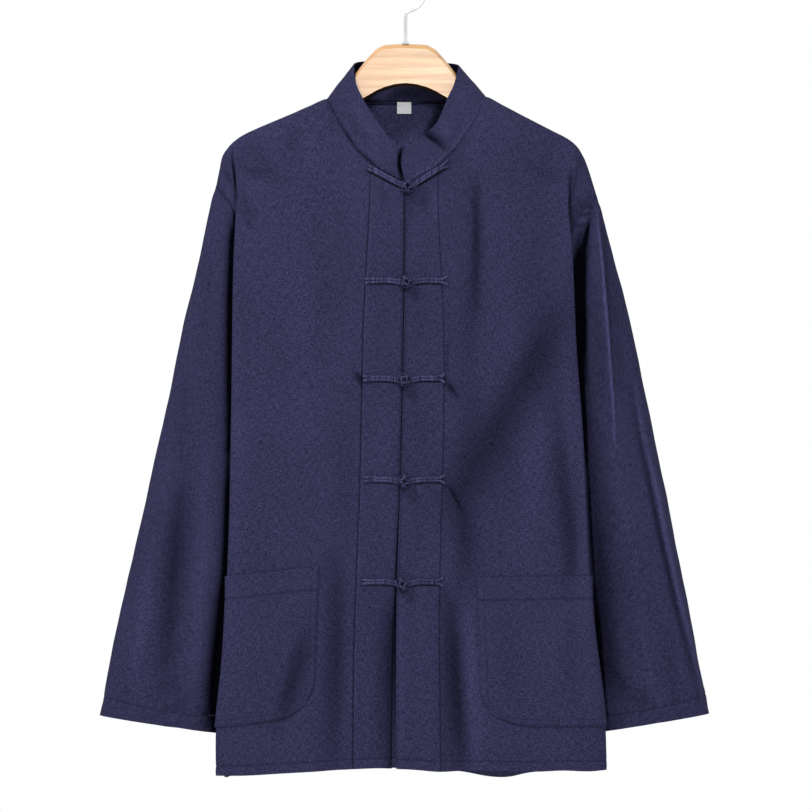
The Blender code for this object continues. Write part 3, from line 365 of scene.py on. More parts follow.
FRONT_CREASES = table("""
left right depth path
20 36 -2.7  576,286 540,350 500,420 468,480 450,504
24 26 1.6  560,400 530,470 512,560
6 8 1.6  398,596 397,680 395,768
9 9 1.2  240,236 238,400 235,560 226,700
9 9 1.2  566,240 570,400 582,560 592,700
12 8 -1.7  474,168 476,230 474,310 471,402
9 12 0.7  462,180 463,260 460,350
3.5 5.5 -1.1  442,379 449,388 457,397
6 11 -1.0  443,481 453,496 462,514 466,562
13 6 -2.8  442,584 450,602 454,640 456,684 459,724 463,770
10 9 1.5  470,590 473,650 477,720 482,770
9 6 -1.9  574,500 575,542 572,586
14 16 -1.0  541,228 532,300 536,382
14 16 0.8  516,300 508,370 512,440
14 11 -1.0  508,430 516,490 510,548
10 14 -0.9  556,386 551,440 556,500
2.4 3.0 -0.8  577,197 585,204 591,206
2.4 3.0 -0.8  572,206 581,212 588,214
2.4 3.0 -0.7  569,216 577,221 584,223
3.5 3.5 -0.6  424,186 426,198 424,214
4 4 0.5  434,188 437,204 435,226
4 4 -0.5  378,186 384,198 388,214
7 15 -1.8  307,622 298,656 287,690 276,724
13 8 -2.0  338,556 339,620 337,690 334,770
8 8 0.7  322,592 321,650 318,700
3.5 4.5 -1.0  354,374 359,380 365,387
10 12 -1.2  292,122 288,138 291,152
10 12 0.7  312,128 308,152 310,180
16 14 0.7  300,250 306,340 300,430
9 12 -0.8  340,200 344,270 342,330
10 10 -0.8  346,390 343,450 347,530
12 12 0.7  318,455 325,500 320,548
5 7 -0.9  238,190 247,210 252,232
4 7 -0.7  236,165 252,172 270,174
9 7 -2.6  386,598 384,680 381,768
8 8 0.6  420,600 424,680 428,764
7 8 -0.5  412,300 420,330 417,365
7 8 -0.5  388,300 382,335 386,370
7 8 -0.5  414,400 421,430 418,465
7 8 0.45  390,400 384,440 388,470
7 8 -0.6  412,500 420,530 416,570
10 12 -0.7  500,600 506,660 512,715
12 12 0.7  540,590 546,650 540,712
8 10 -1.0  575,600 570,660 577,716
""")
BACK_CREASES = table("""
left right depth path
12 10 -1.8  330,180 326,280 333,400
11 13 -1.4  455,170 462,260 458,360
16 14 0.9  392,240 398,360 390,500
13 11 -1.6  300,420 310,520 304,640
12 14 -2.0  480,430 474,560 484,700
13 11 -1.7  420,520 428,640 420,768
12 15 1.4  352,560 346,660 352,768
13 13 -1.1  540,300 532,400 538,520
13 13 -1.1  262,300 270,420 262,540
11 11 1.1  510,620 516,700 508,768
11 11 -1.3  290,660 284,720 290,770
9 14 -0.9  296,146 330,168 366,176
14 9 -0.8  514,148 482,168 446,178
""")
SLEEVE_CREASES = table("""
left right depth path
5 5 -3.6  231,196 231,240 230,300 229,380 228,450
4 5 -1.6  229,420 225,540 220,620
6 8 -4.2  222,590 218,650 214,700 211,740
8 7 -4.6  589,214 583,250 581,290 582,350 585,420
6 9 -1.6  584,380 588,450 594,540 600,640 608,730
1.5 1.7 1.1  598,199 604,264 609,331 614,398 616,448
5 8 -1.0  606,204 613,270 619,340 623,404
5 2.0 -1.0  634,386 640,430 650,472 656,500 663,536 672,574 682,619 693,658 704,702
2.2 4 0.9  638,386 644,430 654,472 660,500 667,536 676,574 686,619 697,658 708,704
6 5 -0.8  588,260 592,330 594,400
10 9 0.8  612,430 622,500 636,560
10 12 -1.6  604,500 616,580 624,650 630,716
8 9 1.0  640,600 648,650 652,716
4 6 -0.6  641,690 646,702 652,716
7 7 -1.1  668,640 674,680 680,716
9 7 -1.1  208,240 206,300 198,372
7 6 0.7  222,260 220,340 214,420
14 11 -2.4  186,466 178,540 170,610 160,690
9 11 1.0  206,470 203,560 196,650 192,722
8 10 1.0  150,560 141,620 131,700
5 6 -0.5  176,690 180,706 182,724
5 6 -0.5  130,680 124,700 122,716
8 9 -0.9  186,380 181,420 176,462
""")
# The tables from here on paint shade and highlights into the cloth's colour; they don't move it.
FRONT_SHADOWS = table("""
left right depth path
1.6 1.6 -1.0  229.5,146 231,160 233,176 234,192 234.5,212
1.5 1.5 -0.5  213,158 218,164 224,171 231,184
1.5 1.6 -0.95  572.5,164 571,190 571,212 573,230
1.6 1.6 -0.3  449,330 447,355 446,379
1.3 1.3 -0.45  446,381 453,391 460,399
1.3 1.3 -0.45  446,482 455,497 462,512
1.3 1.3 -0.5  355,372 360,378 365,383
3 5 -0.22  474,175 475,230 473,310
2 4 -0.25  408,192 410,210 409,232
""")
FRONT_SOFT_SHADE_AND_LIGHT = table("""
left right depth path
12 20 -0.24  576,286 540,350 500,420 468,480 450,504
10 8 -0.42  558,406 561,455 566,500 570,545 572,592
3 3 0.22  579,420 584,500 589,576
11 12 -0.22  476,388 468,430 457,476
10 13 -0.3  459,492 464,540 462,606
9 6 -0.36  452,604 456,660 460,730 463,774
4 5 0.15  468,610 471,680 476,772
9 6 -0.22  338,560 337,640 334,774
6 11 -0.28  303,636 289,690 277,726
10 9 -0.2  246,140 262,158 277,180
8 8 -0.16  524,160 545,172 566,176
4 8 -0.14  240,260 243,340 239,420
14 14 -0.12  318,200 326,270 322,350
5 7 -0.24  476,172 477,240 474,320
""")
SLEEVE_SOFT_SHADE_AND_LIGHT = table("""
left right depth path
12 9 -0.42  598,540 603,620 613,676 644,710
13 12 -0.75  224,585 219,640 213,700 207,746
8 12 -0.34  593,380 600,460 606,540 613,620 621,720
5 5 -0.22  594,262 600,330 603,400
6 8 0.16  606,500 617,580 628,660 634,716
10 8 -0.28  180,480 172,560 162,690
8 8 0.12  205,430 200,540 192,700
6 6 -0.18  222,250 219,330 213,420
6 8 0.14  150,540 138,620 126,712
""")
NECK_SHADOWS = table("""
left right depth path
7 3.0 -1.5  446,97,0.045 440,114,0.045 430,133,0.045 420,142,0.045
""")
SLEEVE_SHADOWS = table("""
left right depth path
1.8 3 -0.95  233,186 233,204 232.5,222 231,246
3.4 8 -1.0  232,212 230.5,240 230,300 230,380 229,450
3 5 -0.6  229,420 225,540 220,620
3.5 10 -0.9  222,590 219,650 215.5,700 212,744
2.2 2.4 -0.9  592,214 589,232 585,250
9 7.5 -1.0  587,238 582,262 580,290 581,330 583,378
6 2.6 -1.0  580,330 583,385 586,430 588,462
2.5 1.0 -0.7  586,430 590,480 593,540 597,600
5 3 -0.8  596,590 601,650 606,705 610,744
1.7 1.4 -0.8  577,196 584,203 592,205 597,203
1.6 1.4 -0.8  573,207 580,213 589,212 594,208
1.6 1.4 -0.7  573,218 579,224 587,222
1.4 1.4 0.55  575,201 583,208 592,209
1.4 1.4 0.55  574,213 581,219 590,217
2.0 3.2 -0.35  604,212 607,262 611,331 616,398
1.1 1.2 0.75  598,199 604,264 609,331 614,398 616,448
3.6 1.6 -0.34  634,386 640,430 650,472 656,500 663,536 672,574 682,619 693,658 704,702
1.6 3.0 0.22  638,386 644,430 654,472 660,500 667,536 676,574 686,619 697,658 708,704
1.5 1.5 -0.6  222,163 227,171 234,181
1.2 1.2 -0.55  215,187 223,193 232,200
1.2 1.2 0.4  217,183 225,189 234,195
""")
SLEEVE_BACK_CREASES = table("""
left right depth path
9 12 -1.8  204,240 196,340 180,460 160,600 150,700
11 9 1.1  216,300 210,420 200,560 190,700
12 9 -1.8  601,230 612,340 630,470 655,600 668,700
9 11 1.1  590,320 600,440 614,570 630,700
8 9 -1.2  140,620 128,660 120,708
8 9 -1.2  672,600 684,650 694,706
""")
COLLAR_CREASES = table("""
left right depth path
2.6 5.5 -1.3  419,130 428,135.5 437,142 449,153
4 5 0.5  442,118 447,130 455,140
2.8 0.7 -0.8  404,143 401.5,152 400,160 400.3,167 402,175 405,184
4 4 0.4  352,96 362,120 378,140
4 4 -0.4  345,110 356,128 370,146
""")
COLLAR_SHADOWS = table("""
left right depth path
3.2 0.9 -0.95  404.5,146 401.4,153 400.2,160 400.3,167 402,175 405,184
2.2 5.5 -0.28  424,133 432,138 442,146
""")
print("creases:", len(FRONT_CREASES) + len(BACK_CREASES) + len(SLEEVE_CREASES) + len(SLEEVE_BACK_CREASES))

# %% [markdown]
# ## From a net to cloth
# The fine net becomes a mesh of quads with a UV map in metres, so that a weave keeps its real scale.
# Solidify then gives it the thickness of folded cotton, inward. Marks on its points keep a painted tone:
# painted shade in troughs, creases and seams, and painted light on ridges and on the cloth's inner side.


# %% Build a cloth shell
nets = {}
sheets = {}


def new_piece(name, vertices, faces):
    """A smooth mesh piece in the scene."""
    mesh = bpy.data.meshes.new(name)
    mesh.from_pydata(vertices, [], faces)
    mesh.polygons.foreach_set("use_smooth", [True] * len(mesh.polygons))
    piece = bpy.data.objects.new(name, mesh)
    bpy.context.scene.collection.objects.link(piece)
    return piece


def seat(piece, replaced=None):
    """Fixes a piece to the one body, in place of a solid if one is named."""
    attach(piece, "root")
    if replaced:
        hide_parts(replaced)


def grid_faces(rows, places, closed=False):
    """Faces between the points of a net; a closed net joins its last place to its first."""
    faces = []
    for r in range(rows - 1):
        for c in range(places if closed else places - 1):
            n = (c + 1) % places
            faces.append((r * places + c, (r + 1) * places + c, (r + 1) * places + n, r * places + n))
    return faces


def cloth(name, net, tone, closed=False, thickness=CLOTH_THICKNESS, reverse=0.0):
    """A thin shell on a net, in place of the solid of that name. tone below 0 is painted shade in folds,
    seams and shadows; above 0 it is painted light on ridges, pressed creases and beside seams, and lighter
    cloth along hem and pocket rims. The cloth's reverse side gets reverse added: painted light, or painted
    shade where reverse is below 0."""
    rows, places = net.shape[:2]
    piece = new_piece("cloth_" + name, net.reshape(-1, 3).tolist(), grid_faces(rows, places, closed))
    mesh = piece.data
    ring = np.concatenate([net, net[:, :1]], axis=1) if closed else net
    u = running(mean_spans(ring, 1))
    v = running(mean_spans(ring, 0))
    flat = []
    for r in range(rows - 1):
        for c in range(len(u) - 1):
            flat += [u[c], -v[r], u[c], -v[r + 1], u[c + 1], -v[r + 1], u[c + 1], -v[r]]
    mesh.uv_layers.new(name="cloth").data.foreach_set("uv", flat)
    # The tone marks are painted shade and light, which the cotton finish multiplies into its colour.
    marks = mesh.attributes.new("tone", "FLOAT", "POINT")
    marks.data.foreach_set("value", np.clip(tone, -1, 1).reshape(-1).astype(np.float32))
    area = sum(face.area for face in mesh.polygons)
    width = float(np.linalg.norm(np.diff(ring, axis=1), axis=2).sum(axis=1).max())
    length = float(np.linalg.norm(np.diff(ring, axis=0), axis=2).sum(axis=0).max())
    solidify = piece.modifiers.new("thickness", "SOLIDIFY")
    solidify.thickness = thickness
    solidify.offset = -1
    solidify.use_even_offset = False
    bpy.context.view_layer.objects.active = piece
    piece.select_set(True)
    bpy.ops.object.modifier_apply(modifier="thickness")
    piece.select_set(False)
    marks = piece.data.attributes["tone"]
    values = np.zeros(len(marks.data), dtype=np.float32)
    marks.data.foreach_get("value", values)
    # The inner side gets reverse added: painted light, or painted shade where reverse is below 0.
    values[rows * places:] += np.broadcast_to(reverse, (rows, places)).reshape(-1)
    marks.data.foreach_set("value", np.clip(values, -1, 1))
    seat(piece, name)
    nets[name] = net
    sheets[name] = (piece, (width, length), min(area, 0.999 * width * length))
    print(name, "flat", round(width, 3), "x", round(length, 3), "m, area", round(area, 4),
          "triangles", 2 * len(piece.data.polygons))


print("cloth is", CLOTH_THICKNESS, "m thick")

# %% [markdown]
# ## The two fronts
# The fronts hang edge to edge from the collar to the hem. Their facings are sewn down about 44 mm from
# the centre, and the hem about 11 mm above its edge, so the cloth dips a little along both lines.

# %% Fronts
HEM_LINE = 10.7
HEM_ROWS = millimetres(1, 2.5, 5, 8, 9.6, 10.3, HEM_LINE, 11.1, 11.8, 13.5)
EDGE_ROWS = millimetres(1, 2.5)
FACING_LINE = 44
FACING_PLACES = millimetres(0, 1.2, 3, 6, 10, 14, 18, 22, 26, 30, 34, 38, 41, 42.6, 43.4,
                            FACING_LINE, 44.6, 45.4, 47, 50)
FACING_WIDTH = {"right": millimetres(45.5, 42.5), "left": millimetres(44, 49)}
FACING_TOP = -0.24
FACING_LENGTH = 0.64
ANCHOR = 5  # the place of the solid's net that the new places near the centre lead up to


def facing_width(side, height):
    """How wide the facing is at that height: its stitch line isn't quite parallel to the edge."""
    top, bottom = FACING_WIDTH[side]
    share = np.clip((FACING_TOP - height) / FACING_LENGTH, 0, 1)
    return top + (bottom - top) * share


def near_hem(net):
    """From 0 to 1 over the lowest 120 mm, where the hem's line is corrected."""
    return fade_in(0.120 - from_edge(net, 0, at_end=True), 0.110)


def front_places(row, side, far):
    """Places across a front: in metres near the centre, then spread between the solid's own places."""
    at = running(spans(row))
    scale = min(1.0, 0.92 * at[ANCHOR] / FACING_PLACES[-1])
    near = np.array(FACING_PLACES) * scale * facing_width(side, row[0, 2]) / (FACING_LINE * MM)
    middle = np.linspace(near[-1], at[ANCHOR], 12)[1:-1]
    near = np.interp(np.concatenate([near, middle]), at, np.arange(len(at)))
    return np.concatenate([near, far])


def settle_front(net, shown):
    """Moves a front or its pocket by the front's creases, as far as shown, from 0 to 1, lets it; the tone
    it gives is the painted shade and light of those creases and of the front's shadow tables.
    """
    normals = net_normals(net)
    x, z = net[:, :, 0], net[:, :, 2]
    move, tone = creases(x, z, FRONT_CREASES)
    move += unevenness(net * [1, 0, 1], 0.055, 1.5 * MM, 3.7)
    move += unevenness(net * [1, 0, 1], 0.018, 0.45 * MM, 9.1)
    tone += shadows(x, z, FRONT_SHADOWS) + shadows(x, z, FRONT_SOFT_SHADE_AND_LIGHT, power=2)
    shows = facing(normals, -1) * shown
    return net + normals * (move * shows)[:, :, None], tone * shows


def sunk_lines(net, side):
    """The stitched facing, centre edge and hem, each a small dip between full cloth. Its tone is painted
    shade in the dips and along the centre edge, painted highlight beside the facing line, painted shade and
    light over the hem's puckers, and lighter cloth along the hem's edge.
    """
    right = side == "right"
    x, z = net[:, :, 0], net[:, :, 2]
    from_centre = from_edge(net, 1, at_end=right)
    from_centre = from_centre * FACING_LINE * MM / facing_width(side, z[:, [-1 if right else 0]])
    from_hem = from_edge(net, 0, at_end=True)
    below_neck = np.clip((FACING_TOP + 0.018 - z) / 0.010, 0, 1)
    move = ridge(from_centre, FACING_LINE, 0.7, -0.9) * below_neck
    move += ridge(from_centre, 41, 2.5, 0.35) * below_neck
    move += ridge(from_hem, HEM_LINE, 0.7, -0.5) + ridge(from_hem, 5, 4, 0.35)
    tone = ridge(from_centre, FACING_LINE, 0.75, -750) + ridge(from_centre, 42.3, 0.8, 300)
    tone *= below_neck * (1.0 if right else 0.6)
    tone += ridge(from_hem, HEM_LINE, 0.8, -200) + ridge(from_hem, 0, 1.5, 150)
    tone += ridge(from_centre, 0, 2.0, -250)
    pucker = np.sin(x * 2 * math.pi / 0.0105 + 2 * np.sin(x * 97))
    move += pucker * ridge(from_hem, 11, 7, 0.16)
    # On the right front below the slit: a painted shadow that the left front casts over its centre edge.
    if right:
        tone += ridge(from_centre, 0, 7, -650) * np.clip((-0.68 - z) / 0.04, 0, 1)
    return move, tone + pucker * ridge(from_hem, 12, 6, 60)


for side in ("right", "left"):
    right = side == "right"
    net = read_net("front_" + side, 1.5 * MM)
    net = net[:, ::-1] if right else net
    far = even_places(mean_spans(net, 1)[ANCHOR:], 2.6 * MM) + ANCHOR
    net = finer(net, foot=HEM_ROWS, top=EDGE_ROWS, across=lambda row: front_places(row, side, far))
    if right:
        net = net[:, ::-1]
        lower = 5.2 * MM * fade_in(-0.055 - net[:, :, 0], 0.130)
    else:
        lower = 4.2 * MM * fade_in(net[:, :, 0] - 0.165, 0.045)
    net[:, :, 2] -= lower * near_hem(net)
    shown = fade_in(from_edge(net, 1, at_end=not right), 0.020) * fade_in(from_edge(net, 0), 0.030)
    moved, tone = settle_front(net, shown)
    sunk, sunk_tone = sunk_lines(net, side)
    cloth("front_" + side, moved + net_normals(moved) * sunk[:, :, None], tone + sunk_tone)

# %% [markdown]
# ## The back
# The back is one piece from side seam to side seam. It hangs from the same shoulders, so it takes long
# soft folds of its own, and its hem peeks out a little below the fronts.

# %% Back
net = finer(read_net("back", 1.5 * MM), foot=HEM_ROWS, top=EDGE_ROWS)
inward_fold = np.clip((0.036 - net[:, :, 1]) / 0.010, 0, 1)
net[:, :, 2] += 6.5 * MM * inward_fold * near_hem(net)
normals = net_normals(net)
x, z = net[:, :, 0], net[:, :, 2]
shows = facing(normals, 1) * both_ends(net, 0.020) * fade_in(from_edge(net, 0), 0.040)
move, tone = creases(x, z, BACK_CREASES)
move += unevenness(net * [1, 0, 1], 0.060, 1.7 * MM, 5.2) + unevenness(net * [1, 0, 1], 0.02, 0.5 * MM, 1.3)
# Painted shade in the creases' troughs and the hem's stitch dip, painted light on the ridges.
from_hem = from_edge(net, 0, at_end=True)
move = move * shows + ridge(from_hem, HEM_LINE, 0.8, -0.6) + ridge(from_hem, 5, 4, 0.35)
tone = tone * shows + ridge(from_hem, HEM_LINE, 0.8, -200)
# The inner side gets painted light, less in a painted shadow beside the collar band.
cloth("back", net + normals * move[:, :, None], tone, reverse=0.8 + shadows(x, z, NECK_SHADOWS))

# %% [markdown]
# ## The sleeves
# Each sleeve is one cut of cloth, sewn into a tube and turned up about 22 mm at the cuff. The wearer's
# left sleeve keeps a crisp pressed crease, the right one a soft trough. The cuff's stitching draws the
# cloth into small puckers.

# %% Sleeves
CUFF_LINE = 22
CUFF_ROWS = millimetres(1, 2.5, 5, 9, 13, 17, 20, 21.3, CUFF_LINE, 22.7, 24)
SLEEVE_PLACES = {"right": 2.8 * MM, "left": 2.0 * MM}
for side in ("right", "left"):
    net = finer(read_net("sleeve_" + side, 1.5 * MM), sample=4.4 * MM, closed=True, foot=CUFF_ROWS,
                sample_across=SLEEVE_PLACES[side])
    normals = net_normals(net, closed=True)
    x, z = net[:, :, 0], net[:, :, 2]
    start = fade_in(from_edge(net, 0) - 0.004, 0.028)
    front, behind = facing(normals, -1), facing(normals, 1)
    front_move, front_tone = creases(x, z, SLEEVE_CREASES)
    back_move, back_tone = creases(x, z, SLEEVE_BACK_CREASES)
    move = front_move * front + back_move * behind
    # Painted shade in troughs and in the gap beside the body, painted highlight along the pressed crease.
    tone = (front_tone * front + back_tone * behind) * start
    tone += (shadows(x, z, SLEEVE_SHADOWS) + shadows(x, z, SLEEVE_SOFT_SHADE_AND_LIGHT, power=2)) * front
    move += unevenness(net, 0.050, 1.6 * MM, 7.7) + unevenness(net, 0.017, 0.5 * MM, 2.9)
    move *= start
    from_cuff = from_edge(net, 0, at_end=True)
    around = from_edge(net, 1)
    pucker = np.sin(around * 2 * math.pi / 0.0092 + 2.2 * np.sin(around * 83))
    move += pucker * ridge(from_cuff, CUFF_LINE, 9, 0.34)
    move += ridge(from_cuff, CUFF_LINE, 0.8, -0.6) + ridge(from_cuff, 11, 8, 0.4)
    # Painted shade in the cuff's stitch dip, with painted shade and light over its puckers.
    tone += ridge(from_cuff, CUFF_LINE, 0.8, -250) + pucker * ridge(from_cuff, CUFF_LINE, 9, 120)
    cloth("sleeve_" + side, net + normals * move[:, :, None], tone, closed=True)

# %% [markdown]
# ## The collar
# The stand collar is one doubled band, stiffer and thicker than the rest. A line of stitching holds it
# down just above its seam, and its lower edge is tucked against the body.

# %% Collar
COLLAR_THICKNESS = 2.2 * MM
COLLAR_TUCK = 1.4 * MM
COLLAR_LINE = 1.8
COLLAR_END = 14 * MM


def collar_places(row):
    """Places along the collar: close together at its two front ends, where they overlap."""
    at = running(spans(row))
    near = np.arange(0, COLLAR_END, 0.75 * MM)
    middle = np.linspace(COLLAR_END, at[-1] - COLLAR_END, 210)
    places = np.concatenate([near, middle, at[-1] - near[::-1]])
    return np.interp(places, at, np.arange(len(at)))


net = finer(read_net("collar", 2.4 * MM), sample=1.8 * MM, foot=millimetres(0.6, 1.2, 1.8, 2.4, 3.2, 5),
            across=collar_places)
tuck = net[-1] - net[-3]
tuck *= (COLLAR_TUCK / np.linalg.norm(tuck, axis=1))[:, None]
net = np.concatenate([net, (net[-1] + tuck)[None]])
normals = net_normals(net)
x, z = net[:, :, 0], net[:, :, 2]
front = facing(normals, -1)
from_seam = from_edge(net, 0, at_end=True) - COLLAR_TUCK
# Where the seam shows: painted shade in its stitch dip and a painted shadow under the lower edge; elsewhere
# painted light over the seam.
seam_shows = np.clip(1 - x / 0.010, 0, 1)
move, tone = creases(x, z, COLLAR_CREASES)
move = move * front + ridge(from_seam, COLLAR_LINE, 0.6, -0.3) * seam_shows + ridge(from_seam, 18, 7, 0.35)
tone = (tone + shadows(x, z, COLLAR_SHADOWS)) * front + ridge(from_seam, 0, 1.6, 300) * (1 - seam_shows)
tone += (ridge(from_seam, COLLAR_LINE, 0.7, -200) + ridge(from_seam, -0.9, 0.9, -1000)) * seam_shows
move += unevenness(net, 0.030, 0.8 * MM, 4.4) * fade_in(from_seam - 0.008, 0.015) * both_ends(net, 0.015)
# Inside, painted light near the middle and painted shade towards the band's ends.
cloth("collar", net + normals * move[:, :, None], tone, thickness=COLLAR_THICKNESS,
      reverse=0.6 - 1.5 * fade_in(abs(x) - 0.036, 0.012))

# %% [markdown]
# ## The patch pockets
# A patch pocket is a flat piece sewn onto the front along three sides. It follows every crease of the
# front under it, and only its hemmed top stands away a little.

# %% Pockets
POCKET_HEM = 25
POCKET_ROWS = millimetres(1, 2.5, 6, 10, 14, 18, 22, 24.2, POCKET_HEM, 25.8)
CLEARANCE = 0.95 * MM
POCKET_THICKNESS = 0.8 * MM


def tree_of(net):
    return BVHTree.FromPolygons([Vector(p) for p in net.reshape(-1, 3)], grid_faces(*net.shape[:2]))


def stand_clear(net, tree, clearance):
    """Moves points out until they stand that far off the cloth under them."""
    flat = net.reshape(-1, 3).copy()
    wanted = clearance.reshape(-1)
    for k, point in enumerate(flat):
        place, normal, _, _ = tree.find_nearest(Vector(point))
        if place is None:
            continue
        height = (Vector(point) - place).dot(normal)
        if height < wanted[k]:
            flat[k] = point + np.array(normal) * (wanted[k] - height)
    return flat.reshape(net.shape)


trees = {side: tree_of(nets["front_" + side]) for side in ("right", "left")}
for side in ("right", "left"):
    net = finer(read_net("pocket_" + side, 1.3 * MM, slack=4e-5), sample=3.2 * MM, top=POCKET_ROWS)
    moved, tone = settle_front(net, 1)
    from_top = from_edge(net, 0)
    rim = np.minimum(from_edge(net, 1), from_edge(net, 1, at_end=True))
    rim = np.minimum(rim, from_edge(net, 0, at_end=True))
    gape = np.exp(-((from_top / 0.012) ** 2)) * fade_in(rim, 0.030)
    off = fade_in(rim, 0.006) * 0.25 * MM + gape * 1.5 * MM
    moved = stand_clear(moved, trees[side], CLEARANCE + off)
    move = ridge(from_top, POCKET_HEM, 0.9, -0.5) + ridge(from_top, 12, 9, 0.3)
    # Painted shade in the hem's stitch dip, and lighter cloth along the rims.
    tone += ridge(from_top, POCKET_HEM, 0.9, -300) + ridge(rim, 0, 1.2, 150)
    cloth("pocket_" + side, moved + net_normals(moved) * move[:, :, None], tone, thickness=POCKET_THICKNESS)

# %% [markdown]
# ## Stitching
# Seams are sewn with a thread slightly darker than the cloth, about eight stitches to 25 mm. One
# stitch is a short rounded bar that dips into the cloth at both ends. It is modelled once and laid
# along each line.

# %% Stitches
STITCH_PITCH = 3.1 * MM
STITCH_LENGTH = 2.3 * MM
STITCH_WIDTH = 0.38 * MM
STITCH_RISE = 0.26 * MM
STITCH_RINGS = ((-0.5, 0.55, -0.25), (-0.22, 1, 0.9), (0.22, 1, 0.9), (0.5, 0.55, -0.25))


def net_place(net, normals, row, place):
    """A point and its outward direction at fractional row and place of a net."""
    r = min(int(row), net.shape[0] - 2)
    c = min(int(place), net.shape[1] - 2)
    a, b = row - r, place - c
    weights = ((1 - a) * (1 - b), a * (1 - b), (1 - a) * b, a * b)
    corners = ((r, c), (r + 1, c), (r, c + 1), (r + 1, c + 1))
    point = sum(w * net[k] for w, k in zip(weights, corners))
    normal = sum(w * normals[k] for w, k in zip(weights, corners))
    return Vector(point), Vector(normal).normalized()


def line_on(net, normals, axis, edge_distance, at_end, steps):
    """A line at a distance from the net's first or last row (axis 0) or column (axis 1)."""
    distance = from_edge(net, axis, at_end=at_end)
    line = []
    for k in range(*steps):
        order = distance[k] if axis else distance[:, k]
        order = order[::-1] if at_end else order
        wanted = edge_distance if np.ndim(edge_distance) == 0 else edge_distance[k]
        place = np.interp(wanted, order, np.arange(len(order)))
        place = len(order) - 1 - place if at_end else place
        line.append(net_place(net, normals, k, place) if axis else net_place(net, normals, place, k))
    return line


def tube_faces(rings, sides, first=0, closed=False):
    """Faces round rings of vertices; a tube that isn't closed on itself gets two end faces."""
    faces = []
    for r in range(rings if closed else rings - 1):
        a, b = first + r * sides, first + (r + 1) % rings * sides
        for s in range(sides):
            n = (s + 1) % sides
            faces.append((a + s, a + n, b + n, b + s))
    if not closed:
        faces.append(tuple(first + s for s in reversed(range(sides))))
        faces.append(tuple(first + (rings - 1) * sides + s for s in range(sides)))
    return faces


def sew(name, lines):
    """Stitches along lines of (point, outward), joined into one piece."""
    vertices, faces = [], []
    for line in lines:
        lengths = [(b[0] - a[0]).length for a, b in zip(line, line[1:])]
        at = running(lengths)
        for start in np.arange(0.001, at[-1] - STITCH_LENGTH, STITCH_PITCH):
            k = min(int(np.searchsorted(at, start + STITCH_LENGTH / 2, side="right")) - 1, len(line) - 2)
            share = (start + STITCH_LENGTH / 2 - at[k]) / lengths[k]
            middle = line[k][0].lerp(line[k + 1][0], share)
            out = line[k][1].lerp(line[k + 1][1], share).normalized()
            along = (line[k + 1][0] - line[k][0]).normalized()
            aside = out.cross(along)
            faces += tube_faces(len(STITCH_RINGS), 4, first=len(vertices))
            for reach, wide, high in STITCH_RINGS:
                centre = middle + along * (reach * STITCH_LENGTH)
                for turn in ((1, 0), (0, 1), (-1, 0), (0, -1)):
                    vertices.append(centre + aside * (turn[0] * wide * STITCH_WIDTH)
                                    + out * (high * STITCH_RISE * 0.5 + turn[1] * wide * STITCH_RISE * 0.5))
    piece = new_piece(name, [tuple(v) for v in vertices], faces)
    seat(piece)
    print(name, "stitches", len(vertices) // 16)
    return piece


SIDE_SEAM_ROWS = (1, 60)
STITCHED_FROM = -0.236
sewing = {}
for part in ("front_right", "front_left", "back"):
    net = nets[part]
    normals = net_normals(net)
    rows, places = net.shape[:2]
    hem = line_on(net, normals, 0, HEM_LINE * MM, True, (0, places))
    if part == "back":
        lines = [hem]
        ends = (False, True)
    else:
        right = part == "front_right"
        heights = net[:, -1 if right else 0, 2]
        start = int(np.argmax(heights < STITCHED_FROM))
        widths = facing_width(part[6:], heights)
        lines = [line_on(net, normals, 1, widths, right, (start, rows)),
                 line_on(net, normals, 1, 2.2 * MM, right, (start + 2, rows)), hem]
        ends = (not right,)
    for at_end in ends:
        for gap in millimetres(2.0, 7.0):
            lines.append(line_on(net, normals, 1, gap, at_end, SIDE_SEAM_ROWS))
    sewing[part] = sew("stitching_" + part, lines)
for side in ("right", "left"):
    net = nets["sleeve_" + side]
    ring = np.concatenate([net, net[:, :1]], axis=1)
    cuff = line_on(ring, net_normals(ring), 0, CUFF_LINE * MM, True, (0, ring.shape[1]))
    sewing["sleeve_" + side] = sew("stitching_sleeve_" + side, [cuff])
    net = nets["pocket_" + side]
    normals = net_normals(net)
    rows, places = net.shape[:2]
    inner = side == "right"
    lines = [line_on(net, normals, 0, POCKET_HEM * MM, False, (1, places - 1))]
    for gap in millimetres(1.4, 7.5):
        lines.append(line_on(net, normals, 1, gap, inner, (0, rows - 2)))
        lines.append(line_on(net, normals, 1, gap, not inner, (0, rows - 2)))
        lines.append(line_on(net, normals, 0, gap, True, (2, places - 2)))
    sewing["pocket_" + side] = sew("stitching_pocket_" + side, lines)
net = nets["collar"]
places = net.shape[1]
seam = line_on(net, net_normals(net), 0, COLLAR_LINE * MM + COLLAR_TUCK, True, (int(places * 0.30), places))
sewing["collar"] = sew("stitching_collar", [seam])
for part, stitches in sewing.items():
    piece, flat, area = sheets[part]

# %% [markdown]
# ## The knotted fastenings
# Each fastening is two lengths of round cord made from the jacket's own cloth. One is doubled and ends
# in a woven ball knot, and the other is doubled and ends in a loop that slips over it. The cords are
# laid on the cloth by looking for the surface under each point.

# %% Cords
CORD_RADIUS = 1.55 * MM
CORD_REST = CORD_RADIUS * 0.80
THREAD_RADIUS = 0.95 * MM
HALF_BAR = CORD_RADIUS * 0.98
BAR_END = 45
KNOT_BAR = millimetres(BAR_END, 40, 33, 26, 19, 13, 8.5)
LOOP_BAR = millimetres(BAR_END, 42, 37, 31, 25, 19, 14, 10)
THREAD_BAR = millimetres(BAR_END, 38, 30, 22, 15, 10.5)
CURVE_STEPS = 4


